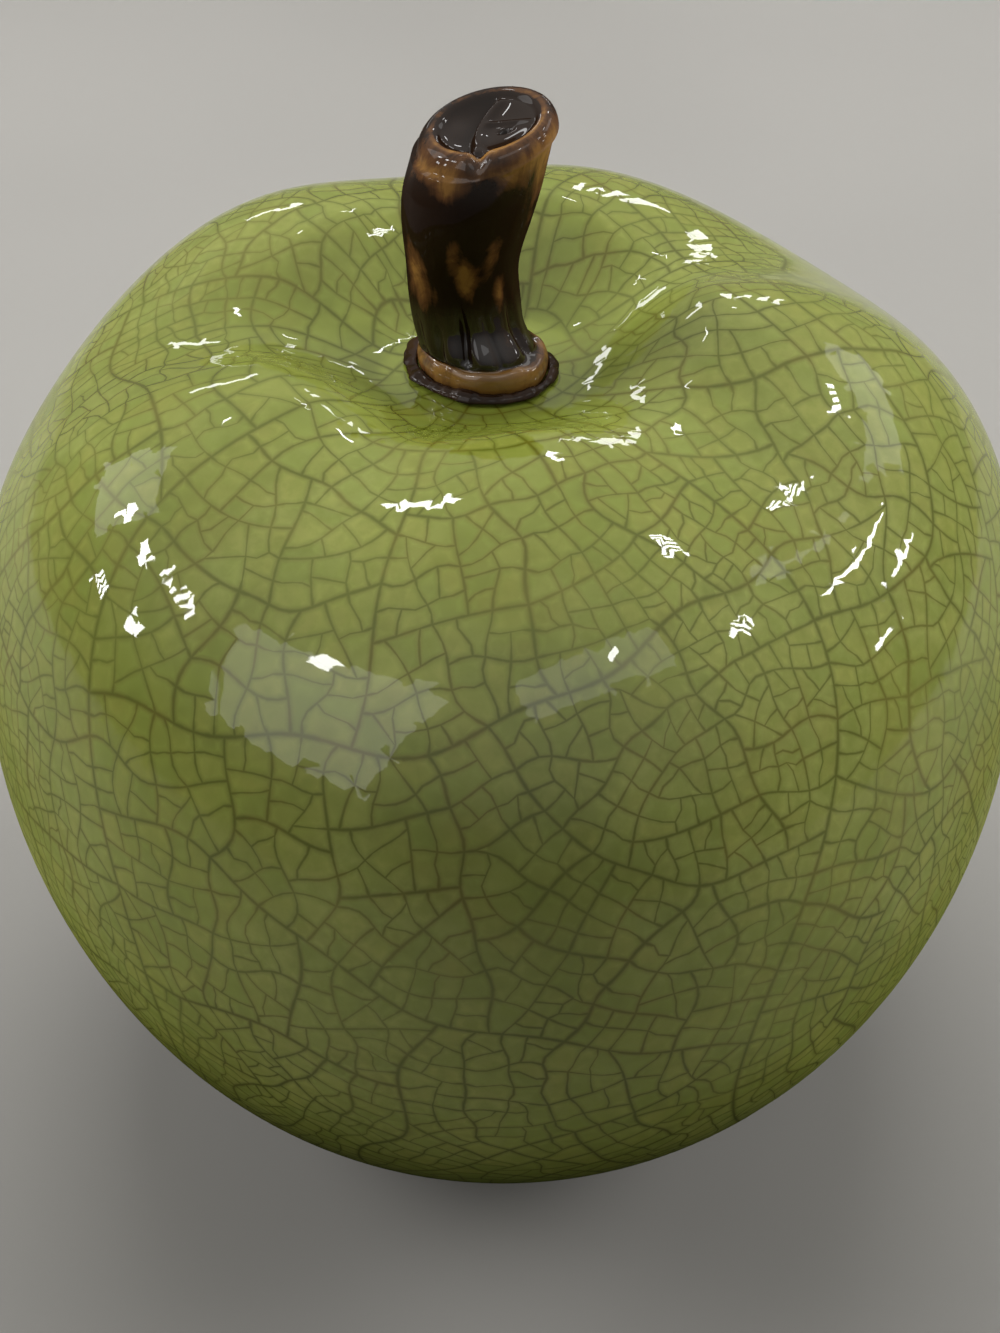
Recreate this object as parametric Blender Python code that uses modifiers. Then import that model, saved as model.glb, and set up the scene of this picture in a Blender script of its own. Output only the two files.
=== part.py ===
"""Ceramic apple: a hollow slip-cast body with a stem made separately and seated in its well.

Metres, +Z up. The origin is on the surface that the apple stands on, under the middle of its
outline, and the apple's front faces -Y. The body is a turned shell whose shoulder and girth
swell a little, as a real apple's do. The stem has a peg that drops into a socket in the well,
a bead of dark glaze and glue seals it, and three felt pads carry the foot ring.
"""
import math

import bmesh
import bpy
from mathutils import Vector

MM = 0.001

# Body
GIRTH_RADIUS = 102.5 * MM
GIRTH_HEIGHT = 90.0 * MM
SHOULDER_HEIGHT = 167.0 * MM
SHOULDER_RADIUS = 42.0 * MM
WELL_DEPTH = 11.0 * MM
WELL_FLOOR_RADIUS = 16.0 * MM
WALL = 5.0 * MM

# Foot ring, its recess and the vent that lets the firing gases out
FOOT_RING_RADIUS = 50.0 * MM
FOOT_RING_WIDTH = 13.0 * MM
FOOT_EDGE = 1.2 * MM
FOOT_RECESS = 3.5 * MM
VENT_RADIUS = 5.0 * MM

# Stem
STEM_LENGTH = 45.5 * MM
STEM_LEAN_SIDE = 1.0 * MM
STEM_LEAN_BACK = 0.8 * MM
STEM_BOW = 3.5 * MM
STEM_BOW_POWER = 1.2
STEM_FOOT_RADIUS = 11.6 * MM
STEM_FOOT_OVAL = 0.9 * MM
STEM_FOOT_LONG_WAY = math.radians(140)
STEM_LIP_HEIGHT = 4.6 * MM
STEM_LIP_STEP = 1.3 * MM
STEM_WAIST_RADIUS = 9.7 * MM
STEM_TOP_RADIUS = 11.8 * MM
STEM_RIM_RADIUS = 2.2 * MM
STEM_TOP_SLOPE_SIDE = 0.20
STEM_TOP_SLOPE_BACK = 0.13
STEM_CUT_DISH = 1.6 * MM
STEM_ROLL_STEP = 1.0 * MM
STEM_ROLL_START = 0.15
STEM_ROLL_EASE = 0.25
PEG_RADIUS = 6.0 * MM
PEG_LENGTH = 8.0 * MM
PEG_CHAMFER = 1.0 * MM

# Shares of the stem's length at which its forms are reached
STEM_LIP_AT = 0.17
STEM_WAIST_AT = 0.40
STEM_FOLDS_END_AT = 0.70
STEM_SWELL_AT = 0.80
STEM_CUT_FROM = 0.60

# Fits
PEG_CLEARANCE = 0.3 * MM
SEAT_GAP = 0.3 * MM
BEAD_RADIUS = 1.0 * MM
BEAD_SWELL = 0.6 * MM
BEAD_SWELL_FROM = math.radians(155)

# Felt pads
PAD_COUNT = 3
PAD_RADIUS = 5.0 * MM
PAD_THICKNESS = 2.0 * MM

# Body outline: how far each handle reaches along its stretch
WELL_FLOOR_REACH = 0.32
SHOULDER_INNER_REACH = 0.32
SHOULDER_OUTER_REACH = 0.32
GIRTH_UPPER_REACH = 0.84
GIRTH_LOWER_REACH = 0.44
FOOT_REACH = 0.60
FOOT_RISE = math.radians(20)

# How the hand-finished body departs from a true turned shape. Each wave is
# (swells round the apple, height of a swell, direction of one swell).
SHOULDER_WAVES = (
    (1, 2.4 * MM, math.radians(70)),
    (2, 0.8 * MM, math.radians(105)),
    (3, 1.7 * MM, math.radians(-6)),
    (5, 2.5 * MM, math.radians(-5)),
)
GIRTH_WAVES = (
    (1, 5.5 * MM, math.radians(3)),
    (2, 2.0 * MM, math.radians(57)),
    (3, 2.5 * MM, math.radians(44)),
)

# Folds of the stem's clay, as (folds round the stem, height, direction of one fold)
STEM_FOLDS = (
    (4, 0.5 * MM, math.radians(-120)),
    (7, 0.45 * MM, math.radians(-70)),
)

# Fineness of the meshes
BODY_SEGMENTS = 56
WELL_STEPS = 7
SHOULDER_STEPS = 11
BELLY_STEPS = 10
STEM_SEGMENTS = 40
LIP_STEPS = 5
TRUNK_STEPS = 13
RIM_STEPS = 4
FACE_STEPS = 4
BEAD_SEGMENTS = 40
PAD_SEGMENTS = 20
SHARP_ANGLE = math.radians(35)
MERGE_DISTANCE = 0.00001

SOCKET_RADIUS = PEG_RADIUS + PEG_CLEARANCE
FOOT_PLANE = PAD_THICKNESS + SEAT_GAP
WELL_FLOOR = SHOULDER_HEIGHT - WELL_DEPTH
FRONT = math.radians(-90)
RIM_TURN = math.radians(144)


def clear_scene():
    """Remove whatever the file opened with."""
    for item in list(bpy.data.objects):
        bpy.data.objects.remove(item, do_unlink=True)


def make_collection(name):
    """Collection that holds the apple's pieces."""
    collection = bpy.data.collections.new(name)
    bpy.context.scene.collection.children.link(collection)
    return collection


def make_material(name, colour, roughness, metallic=0.0, coat=0.0):
    """Plain finish for one piece; the colour is linear."""
    material = bpy.data.materials.new(name)
    material.use_nodes = True
    material.diffuse_color = (*colour, 1.0)
    shader = material.node_tree.nodes["Principled BSDF"]
    shader.inputs["Base Color"].default_value = (*colour, 1.0)
    shader.inputs["Roughness"].default_value = roughness
    shader.inputs["Metallic"].default_value = metallic
    shader.inputs["Coat Weight"].default_value = coat
    return material


def add_object(name, mesh, collection, material, location):
    """Put a mesh in the scene as a named piece."""
    piece = bpy.data.objects.new(name, mesh)
    piece.location = location
    collection.objects.link(piece)
    mesh.materials.clear()
    mesh.materials.append(material)
    return piece


def mesh_from_bmesh(name, shape):
    """Mesh with smooth shading except across sharp edges."""
    bmesh.ops.recalc_face_normals(shape, faces=shape.faces)
    mesh = bpy.data.meshes.new(name)
    shape.to_mesh(mesh)
    shape.free()
    mesh.shade_smooth()
    mesh.set_sharp_from_angle(angle=SHARP_ANGLE)
    return mesh


def smooth_step(value):
    """Ease from 0 to 1, held at the ends."""
    value = min(max(value, 0.0), 1.0)
    return value * value * (3.0 - 2.0 * value)


def mix(first, second, share):
    """Value that lies the given share of the way from first to second."""
    return first + (second - first) * share


def curve_points(start, handle_out, handle_in, end, steps):
    """Points of one Bezier stretch, without its first point."""
    points = []
    for step in range(1, steps + 1):
        t = step / steps
        s = 1.0 - t
        weights = (s**3, 3 * s * s * t, 3 * s * t * t, t**3)
        nodes = (start, handle_out, handle_in, end)
        points.append(tuple(sum(w * n[axis] for w, n in zip(weights, nodes)) for axis in (0, 1)))
    return points


def wave_sum(waves, angle):
    """Sum of the swells that meet at an angle round the apple."""
    return sum(height * math.cos(count * (angle - at)) for count, height, at in waves)


def body_outline():
    """Outer skin from the socket, over the shoulder and under the foot, to the vent."""
    floor = (WELL_FLOOR_RADIUS, WELL_FLOOR)
    shoulder = (SHOULDER_RADIUS, SHOULDER_HEIGHT)
    girth = (GIRTH_RADIUS, GIRTH_HEIGHT)
    foot = (FOOT_RING_RADIUS, FOOT_PLANE + FOOT_EDGE)
    well_run = SHOULDER_RADIUS - WELL_FLOOR_RADIUS
    side_run = GIRTH_RADIUS - SHOULDER_RADIUS
    foot_run = FOOT_REACH * (GIRTH_RADIUS - FOOT_RING_RADIUS)

    points = [
        (SOCKET_RADIUS, WELL_FLOOR),
        (mix(SOCKET_RADIUS, WELL_FLOOR_RADIUS, 0.5), WELL_FLOOR),
        floor,
    ]
    points += curve_points(
        floor,
        (WELL_FLOOR_RADIUS + WELL_FLOOR_REACH * well_run, WELL_FLOOR),
        (SHOULDER_RADIUS - SHOULDER_INNER_REACH * well_run, SHOULDER_HEIGHT),
        shoulder, WELL_STEPS)
    points += curve_points(
        shoulder,
        (SHOULDER_RADIUS + SHOULDER_OUTER_REACH * side_run, SHOULDER_HEIGHT),
        (GIRTH_RADIUS, mix(GIRTH_HEIGHT, SHOULDER_HEIGHT, GIRTH_UPPER_REACH)),
        girth, SHOULDER_STEPS)
    points += curve_points(
        girth,
        (GIRTH_RADIUS, GIRTH_HEIGHT - GIRTH_LOWER_REACH * (GIRTH_HEIGHT - foot[1])),
        (foot[0] + foot_run * math.cos(FOOT_RISE), foot[1] + foot_run * math.sin(FOOT_RISE)),
        foot, BELLY_STEPS)
    ring_inner = FOOT_RING_RADIUS - FOOT_RING_WIDTH
    points += [
        (FOOT_RING_RADIUS - FOOT_EDGE, FOOT_PLANE),
        (ring_inner, FOOT_PLANE),
        (ring_inner - FOOT_RECESS, FOOT_PLANE + FOOT_RECESS),
        (mix(ring_inner - FOOT_RECESS, VENT_RADIUS, 0.5), FOOT_PLANE + FOOT_RECESS),
        (VENT_RADIUS, FOOT_PLANE + FOOT_RECESS),
    ]
    return points


def girth_share(radius, height):
    """How far the girth's swells push a point; the well and the underside keep their shape."""
    if radius < FOOT_RING_RADIUS:
        return 0.0
    above = (height - GIRTH_HEIGHT) / (SHOULDER_HEIGHT - GIRTH_HEIGHT)
    below = (GIRTH_HEIGHT - height) / (GIRTH_HEIGHT - FOOT_PLANE - FOOT_EDGE)
    return 1.0 - min(max(above, below), 1.0) ** 2


def shoulder_share(radius, height):
    """How far the shoulder's swells lift a point; the girth and the well floor stay put."""
    up = (height - GIRTH_HEIGHT) / (SHOULDER_HEIGHT - GIRTH_HEIGHT)
    out = (radius - WELL_FLOOR_RADIUS) / (SHOULDER_RADIUS - WELL_FLOOR_RADIUS)
    return smooth_step(up) * smooth_step(out)


def shaped(point):
    """Move a point of the turned skin to where the swells put it."""
    radius = math.hypot(point.x, point.y)
    angle = math.atan2(point.y, point.x)
    lift = shoulder_share(radius, point.z) * wave_sum(SHOULDER_WAVES, angle)
    radius += girth_share(radius, point.z) * wave_sum(GIRTH_WAVES, angle)
    return Vector((radius * math.cos(angle), radius * math.sin(angle), point.z + lift))


def turned_skin(name, outline, segments):
    """Open surface of an outline turned round the Z axis."""
    profile = bpy.data.meshes.new(name + "_outline")
    edges = [(index, index + 1) for index in range(len(outline) - 1)]
    profile.from_pydata([(radius, 0.0, height) for radius, height in outline], edges, [])
    holder = bpy.data.objects.new(name + "_outline", profile)
    bpy.context.scene.collection.objects.link(holder)
    screw = holder.modifiers.new("turn", "SCREW")
    screw.axis = "Z"
    screw.steps = segments
    screw.render_steps = segments
    screw.use_merge_vertices = True
    screw.merge_threshold = MERGE_DISTANCE
    evaluated = holder.evaluated_get(bpy.context.evaluated_depsgraph_get())
    skin = bpy.data.meshes.new_from_object(evaluated)
    bpy.data.objects.remove(holder, do_unlink=True)
    bpy.data.meshes.remove(profile)
    return skin


def make_body(collection, material, location):
    """Hollow shell, open at the stem's socket and at the vent."""
    skin = turned_skin("apple_body", body_outline(), BODY_SEGMENTS)
    skin.name = "apple_body"
    for vertex in skin.vertices:
        vertex.co = shaped(vertex.co)
    skin.shade_smooth()
    skin.set_sharp_from_angle(angle=SHARP_ANGLE)
    body = add_object("apple_body", skin, collection, material, location)
    shell = body.modifiers.new("wall", "SOLIDIFY")
    shell.thickness = WALL
    shell.offset = -1.0
    shell.use_even_offset = True
    shell.use_quality_normals = True
    return body


def middle_of_outline():
    """Middle of the body's outline in plan, measured from the stem's axis."""
    skin = turned_skin("measure", body_outline(), BODY_SEGMENTS)
    places = [shaped(vertex.co) for vertex in skin.vertices]
    bpy.data.meshes.remove(skin)
    across = [place.x for place in places]
    along = [place.y for place in places]
    return Vector(((min(across) + max(across)) / 2, (min(along) + max(along)) / 2, 0.0))


def trunk_radius(share):
    """Mean radius of the stem at a share of its length, above the lip."""
    if share < STEM_WAIST_AT:
        narrowed = smooth_step((share - STEM_LIP_AT) / (STEM_WAIST_AT - STEM_LIP_AT))
        return mix(STEM_FOOT_RADIUS - STEM_LIP_STEP, STEM_WAIST_RADIUS, narrowed)
    swollen = smooth_step((share - STEM_WAIST_AT) / (STEM_SWELL_AT - STEM_WAIST_AT))
    return mix(STEM_WAIST_RADIUS, STEM_TOP_RADIUS, swollen)


def trunk_centre(share):
    """Middle of the stem at a share of its length, bowed to the left and leaning back."""
    bow = STEM_BOW * math.sin(math.pi * share) ** STEM_BOW_POWER
    return Vector((STEM_LEAN_SIDE * share - bow, STEM_LEAN_BACK * share, 0.0))


def fold_height(angle, share):
    """How far the clay's folds stand out above the lip; they run out up the stem."""
    starts = smooth_step(share / STEM_LIP_AT)
    ends = smooth_step((share - STEM_LIP_AT) / (STEM_FOLDS_END_AT - STEM_LIP_AT))
    return starts * (1.0 - ends) * wave_sum(STEM_FOLDS, angle)


def foot_radius(angle):
    """Outline of the stem's foot lip, which the bead follows."""
    return STEM_FOOT_RADIUS + STEM_FOOT_OVAL * math.cos(2 * (angle - STEM_FOOT_LONG_WAY))


def cut_face_height(angle, reach):
    """Height of the rolled clay at a share of the cut face's radius, against its edge."""
    turn = ((angle - FRONT) / (2 * math.pi)) % 1.0
    roll_edge = mix(STEM_ROLL_START, 1.0, turn)
    outside = smooth_step((reach - roll_edge) / STEM_ROLL_EASE + 0.5)
    return STEM_ROLL_STEP * outside - STEM_CUT_DISH * (1.0 - reach**2)


def stem_ring(centre, radius_at, height_at, cut_share=0.0):
    """One section of the stem; cut_share says how much it follows the sloping cut."""
    places = []
    for step in range(STEM_SEGMENTS):
        angle = 2 * math.pi * step / STEM_SEGMENTS
        x = radius_at(angle) * math.cos(angle)
        y = radius_at(angle) * math.sin(angle)
        slope = STEM_TOP_SLOPE_SIDE * x + STEM_TOP_SLOPE_BACK * y
        places.append(centre + Vector((x, y, height_at(angle) + cut_share * slope)))
    return places


def peg_and_lip_rings():
    """Sections of the peg and of the rounded lip that rests in the well."""
    axis = Vector((0.0, 0.0, 0.0))
    rings = [
        stem_ring(axis, lambda angle: PEG_RADIUS - PEG_CHAMFER, lambda angle: -PEG_LENGTH),
        stem_ring(axis, lambda angle: PEG_RADIUS, lambda angle: PEG_CHAMFER - PEG_LENGTH),
        stem_ring(axis, lambda angle: PEG_RADIUS, lambda angle: 0.0),
    ]
    half = STEM_LIP_HEIGHT / 2
    for step in range(LIP_STEPS + 1):
        turn = math.pi * (step / LIP_STEPS - 0.5)
        tuck = STEM_LIP_STEP * (1.0 - math.cos(turn))
        height = half * (1.0 + math.sin(turn))
        rings.append(stem_ring(
            axis,
            lambda angle, t=tuck: foot_radius(angle) - t,
            lambda angle, h=height: h))
    return rings


def trunk_rings():
    """Sections of the trunk, which level off into the slope of the cut near the top."""
    rings = []
    for step in range(1, TRUNK_STEPS + 1):
        share = mix(STEM_LIP_AT, 1.0 - STEM_RIM_RADIUS / STEM_LENGTH, step / TRUNK_STEPS)
        cut_share = smooth_step((share - STEM_CUT_FROM) / (1.0 - STEM_CUT_FROM))
        rings.append(stem_ring(
            trunk_centre(share),
            lambda angle, s=share: trunk_radius(s) + fold_height(angle, s),
            lambda angle, s=share: s * STEM_LENGTH,
            cut_share))
    return rings


def rim_and_face_rings():
    """Sections of the rolled rim and of the sunk cut face inside it."""
    centre = trunk_centre(1.0)
    base = STEM_LENGTH - STEM_RIM_RADIUS
    face_radius = STEM_TOP_RADIUS - STEM_RIM_RADIUS * (1.0 - math.cos(RIM_TURN))
    rings = []
    for step in range(1, RIM_STEPS + 1):
        turn = RIM_TURN * step / RIM_STEPS
        radius = STEM_TOP_RADIUS - STEM_RIM_RADIUS * (1.0 - math.cos(turn))
        height = base + STEM_RIM_RADIUS * math.sin(turn)
        rings.append(stem_ring(centre, lambda angle, r=radius: r, lambda angle, h=height: h, 1.0))
    for step in range(1, FACE_STEPS + 1):
        reach = 1.0 - step / (FACE_STEPS + 1)
        rings.append(stem_ring(
            centre,
            lambda angle, q=reach: face_radius * q,
            lambda angle, q=reach: base + cut_face_height(angle, q),
            1.0))
    return rings


def make_stem(collection, material, location):
    """Solid stem lofted through its sections, with the peg below its foot."""
    shape = bmesh.new()
    sections = peg_and_lip_rings() + trunk_rings() + rim_and_face_rings()
    rings = [[shape.verts.new(place) for place in section] for section in sections]
    for lower, upper in zip(rings, rings[1:]):
        for index in range(STEM_SEGMENTS):
            after = (index + 1) % STEM_SEGMENTS
            shape.faces.new((lower[index], lower[after], upper[after], upper[index]))
    for ring in (rings[0], rings[-1]):
        middle = shape.verts.new(sum((vertex.co for vertex in ring), Vector()) / len(ring))
        for index in range(STEM_SEGMENTS):
            shape.faces.new((ring[index], ring[(index + 1) % STEM_SEGMENTS], middle))
    mesh = mesh_from_bmesh("stem", shape)
    return add_object("stem", mesh, collection, material, location)


def make_bead(collection, material, location):
    """Bead of dark glaze and glue that runs round the stem's foot in the well."""
    line = bpy.data.curves.new("stem_bead", "CURVE")
    line.dimensions = "3D"
    line.bevel_depth = BEAD_RADIUS
    line.bevel_resolution = 2
    spline = line.splines.new("POLY")
    spline.points.add(BEAD_SEGMENTS - 1)
    spline.use_cyclic_u = True
    for index, point in enumerate(spline.points):
        angle = 2 * math.pi * index / BEAD_SEGMENTS
        radius = BEAD_RADIUS + BEAD_SWELL * smooth_step(math.cos(angle - BEAD_SWELL_FROM))
        reach = foot_radius(angle) + SEAT_GAP + radius
        point.co = (reach * math.cos(angle), reach * math.sin(angle), radius, 1.0)
        point.radius = radius / BEAD_RADIUS
    line.materials.append(material)
    bead = bpy.data.objects.new("stem_bead", line)
    bead.location = location
    collection.objects.link(bead)
    return bead


def make_pads(collection, material, centre):
    """Felt pads, evenly spaced under the foot ring."""
    ring_middle = FOOT_RING_RADIUS - FOOT_RING_WIDTH / 2
    for number in range(PAD_COUNT):
        angle = FRONT + 2 * math.pi * number / PAD_COUNT
        shape = bmesh.new()
        bmesh.ops.create_cone(
            shape, cap_ends=True, segments=PAD_SEGMENTS,
            radius1=PAD_RADIUS, radius2=PAD_RADIUS, depth=PAD_THICKNESS)
        name = f"felt_pad_{number + 1}"
        place = centre + Vector((
            ring_middle * math.cos(angle),
            ring_middle * math.sin(angle),
            PAD_THICKNESS / 2))
        add_object(name, mesh_from_bmesh(name, shape), collection, material, place)


def main():
    """Build the apple."""
    clear_scene()
    collection = make_collection("ceramic_apple")
    axis = -middle_of_outline()
    glaze = make_material("green_crackle_glaze", (0.205, 0.235, 0.052), 0.12, coat=0.6)
    bark = make_material("brown_stem_glaze", (0.035, 0.014, 0.006), 0.12, coat=0.6)
    seal = make_material("dark_bead", (0.010, 0.007, 0.006), 0.15)
    felt = make_material("brown_felt", (0.060, 0.045, 0.035), 0.95)
    seat = axis + Vector((0.0, 0.0, WELL_FLOOR + SEAT_GAP))
    make_body(collection, glaze, axis)
    make_stem(collection, bark, seat)
    make_bead(collection, seal, seat)
    make_pads(collection, felt, axis)


main()
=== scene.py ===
"""Looks of the ceramic apple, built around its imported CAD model.

Metres, +Z up, in the CAD model's own frame. The crackle in the glaze is grown as real crackle
grows: the glazed skin is split by one curved crack after another, and each new crack stops at
the older ones. The cells that are left are the mesh of the skin.
"""

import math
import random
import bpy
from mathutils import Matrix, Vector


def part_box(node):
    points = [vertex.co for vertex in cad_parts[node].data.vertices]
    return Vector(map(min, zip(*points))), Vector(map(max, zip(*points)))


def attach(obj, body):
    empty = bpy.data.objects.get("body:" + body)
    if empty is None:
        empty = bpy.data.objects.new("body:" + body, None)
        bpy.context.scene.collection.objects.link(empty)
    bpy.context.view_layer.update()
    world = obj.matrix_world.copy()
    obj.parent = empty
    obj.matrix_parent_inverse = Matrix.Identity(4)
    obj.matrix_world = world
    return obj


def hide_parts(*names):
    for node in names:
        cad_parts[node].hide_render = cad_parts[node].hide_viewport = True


bl_info = {
    "name": "Ceramic Apple",
    "version": (1, 0, 0),
    "blender": (4, 5, 0),
    "location": "View3D > Sidebar > Apple",
    "description": "Crackle-glazed ceramic apple with a glazed clay stem",
    "category": "Add Mesh",
}

import bmesh
import bpy
import numpy as np
from bpy.props import FloatProperty, FloatVectorProperty, IntProperty, PointerProperty
from mathutils import Vector

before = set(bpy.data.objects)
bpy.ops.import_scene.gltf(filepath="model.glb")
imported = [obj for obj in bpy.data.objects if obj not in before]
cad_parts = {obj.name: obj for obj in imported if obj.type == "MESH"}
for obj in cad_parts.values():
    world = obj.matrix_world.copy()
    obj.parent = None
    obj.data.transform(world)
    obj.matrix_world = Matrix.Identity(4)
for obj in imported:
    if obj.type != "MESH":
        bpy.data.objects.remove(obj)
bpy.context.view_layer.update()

MM = 0.001

# Body, as in the CAD model
GIRTH_RADIUS = 102.5 * MM
GIRTH_HEIGHT = 90.0 * MM
SHOULDER_HEIGHT = 167.0 * MM
SHOULDER_RADIUS = 42.0 * MM
WELL_FLOOR = 156.0 * MM
WELL_FLOOR_RADIUS = 16.0 * MM
SOCKET_RADIUS = 6.3 * MM
WALL = 5.0 * MM
WELL_FLOOR_REACH = 0.32
SHOULDER_REACH = 0.32
GIRTH_UPPER_REACH = 0.84
GIRTH_LOWER_REACH = 0.44
FOOT_REACH = 0.60
FOOT_RISE = math.radians(20)
FOOT_RING_RADIUS = 50.0 * MM
FOOT_RING_INNER = 37.0 * MM
FOOT_PLANE = 2.3 * MM
FOOT_EDGE = 1.2 * MM
RECESS_RADIUS = 33.5 * MM
RECESS_HEIGHT = 5.8 * MM
VENT_RADIUS = 5.0 * MM
SHOULDER_WAVES = (
    (1, 2.4 * MM, math.radians(70)),
    (2, 0.8 * MM, math.radians(105)),
    (3, 1.7 * MM, math.radians(-6)),
    (5, 2.5 * MM, math.radians(-5)),
)
GIRTH_WAVES = (
    (1, 5.5 * MM, math.radians(3)),
    (2, 2.0 * MM, math.radians(57)),
    (3, 2.5 * MM, math.radians(44)),
)
GLAZE_TUCK = 0.2 * MM

# Where the axis of body and stem, the stem's seat and the lamps' aim stand in the frame
PAD_RING_RADIUS = 43.5 * MM
GLUE_GAP = 0.3 * MM
AIM_HEIGHT = 120.0 * MM
pad_low, pad_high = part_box("felt_pad_1")
AXIS = Vector((
    (pad_low.x + pad_high.x) / 2, (pad_low.y + pad_high.y) / 2 + PAD_RING_RADIUS, 0.0))
SEAT = AXIS + Vector((0.0, 0.0, WELL_FLOOR + GLUE_GAP))
LAMP_AIM = AXIS + Vector((0.0, 0.0, AIM_HEIGHT))

# Crackle: the net begins under the stem, and its chart is seen from the body's middle
NET_TOP_RADIUS = 9.5 * MM
BODY_MIDDLE = 85.0 * MM
OUTLINE_STEPS = 240
RIM_POINTS = 96
CRACK_TRIES = 9
CRACK_CHOICES = 5
CRACK_SPREAD = 0.3
CARRY_ON = 0.75
CARRY_REACH = 2.2 * MM
CRACK_CLEARANCE = 1.2 * MM
CRACK_END_CLEARANCE = 0.7 * MM
LONG_CRACK = 25 * MM
SHARP_ANGLE = math.radians(50)

# Cell areas, as powers of ten of a square millimetre, past which a crack runs freely or counts as
# old, each with how long the change takes; and the luck of each cell
FREE_CRACK = (1.8, 2.0)
OLD_CRACK = (1.6, 1.9)
CARRY_ON_BELOW = 0.7
YOUNG_STRENGTH = 0.58
STRENGTH_LUCK = (0.8, 1.15)
AREA_LUCK = (0.85, 1.25)

# Patches of coarser and finer crackle: how much, waves round the apple, waves up it, shift; and
# the rise where the well's coarser crackle starts, how long it takes and how much it is
PATCHES = ((0.22, 3, 2.1, 0.0), (0.16, 5, -3.7, 1.0))
WELL_PATCH = (0.9, 0.6, 0.35)

# The oldest cracks: rim point at the stem, rim point at the foot, how far they swing
FIRST_CRACKS = ((0, 5, 0.10), (21, 18, -0.16), (40, 44, 0.14), (61, 60, -0.10), (78, 84, 0.16))
FIRST_CRACK_STEPS = 2000

# How far a crack's stain reaches into a cell: at most, and as shares of the way to the cell's
# middle and to its other sides; how often and how far back a fold in it is taken; the reach where
# there is no crack, in millimetres; and how the cells tilt
CRACK_REACH = 1.3 * MM
INSET_TO_MIDDLE = 0.35
INSET_TO_SIDE = 0.40
INSET_TRIES = 8
INSET_BACK = 0.7
NO_CRACK = 5.0
CELL_TILT = 0.008

# Stem, as in the CAD model
STEM_LENGTH = 45.5 * MM
STEM_LEAN_SIDE = 1.0 * MM
STEM_LEAN_BACK = 0.8 * MM
STEM_BOW = 3.5 * MM
STEM_BOW_POWER = 1.2
STEM_FOOT_RADIUS = 11.6 * MM
STEM_FOOT_OVAL = 0.9 * MM
STEM_FOOT_LONG_WAY = math.radians(140)
STEM_LIP_HEIGHT = 4.6 * MM
STEM_LIP_STEP = 1.3 * MM
STEM_WAIST_RADIUS = 9.7 * MM
STEM_TOP_RADIUS = 11.8 * MM
STEM_RIM_RADIUS = 2.2 * MM
STEM_RIM_HEIGHT = 3.8 * MM
STEM_TOP_SLOPE_SIDE = 0.20
STEM_TOP_SLOPE_BACK = 0.13
STEM_LIP_AT = 0.17
STEM_WAIST_AT = 0.40
STEM_SWELL_AT = 0.80
STEM_CUT_FROM = 0.60
STEM_SEGMENTS = 160
RIM_DROP = 0.05 * MM
RIM_TURN = math.radians(144)

# Forms of the stem that the CAD model leaves out; directions are taken from +X
LIP_TOP_STEP = 1.4 * MM
LIP_FOOT_STEP = 0.7 * MM
LIP_TUCK = 0.2 * MM
TOE_STEP = 1.2 * MM
TRUNK_FROM = 0.108
WAIST_CUT = 0.4 * MM
FRONT_HOLLOW = 2.7 * MM
STEM_FRONT = math.radians(-88)
LEFT_FILL = 1.1 * MM
STEM_LEFT = math.radians(185)
RIGHT_CUT = 1.1 * MM
NOTCH_DIRECTION = -98.0
NOTCH_HALF_WIDTH = 7.0
NOTCH_DEPTH = 1.3 * MM
RIM_FRONT = math.radians(-75)

# Spans of those forms as shares of the stem's length: start, rise, end and fall, or middle and
# half width
WAIST_SPAN = (0.15, 0.15, 0.35, 0.3)
HOLLOW_SPAN = (0.12, 0.12, 0.32, 0.3)
FILL_SPAN = (0.31, 0.20)
CUT_SPAN = (0.19, 0.08)

# Rings of points along the stem's parts
LIP_STEPS = 12
TRUNK_STEPS = 84
RIM_STEPS = 12
FACE_STEPS = 30

# The bead round the stem's foot, its outline as shares of its width and height, and the peg
BEAD_RADIUS = 1.0 * MM
BEAD_SWELL = 0.6 * MM
BEAD_SWELL_FROM = math.radians(155)
BEAD_OUTLINE = (
    (0.30, 0.00), (0.80, 0.00), (0.95, 0.03), (1.00, 0.12), (0.93, 0.32), (0.78, 0.58),
    (0.55, 0.82), (0.32, 0.96), (0.14, 1.00), (0.04, 0.94), (0.00, 0.80), (0.00, 0.10),
    (0.06, 0.02))
BEAD_TURNS = 240
BEAD_ROUNDS = 28
BEAD_OVERLAP = 0.12 * MM
PEG_RADIUS = 6.0 * MM
PEG_LENGTH = 8.0 * MM

# Felt pads: outline as shares of the radius and of half the thickness
PAD_OUTLINE = (
    (0.3, -1.0), (0.8, -1.0), (0.93, -0.97), (0.975, -0.8), (0.985, -0.4), (0.98, 0.0),
    (0.985, 0.4), (0.975, 0.8), (0.93, 0.97), (0.8, 1.0), (0.3, 1.0))
PAD_TURNS = 72
PAD_SHARP_ANGLE = math.radians(60)
PAD_SEED = 3

# Grooves between the folds of the stem's foot: (direction, depth, half width, top's share)
STEM_GROOVES = (
    (-158, 1.0, 9, 0.44), (-129, 0.9, 6, 0.38), (-100, 2.0, 8, 0.50), (-66, 0.7, 4, 0.36),
    (-31, 1.3, 7, 0.46), (4, 0.9, 6, 0.38), (34, 1.4, 8, 0.50), (62, 1.0, 6, 0.40),
    (98, 1.5, 9, 0.50), (140, 1.2, 8, 0.46), (178, 1.3, 9, 0.42),
)

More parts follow.
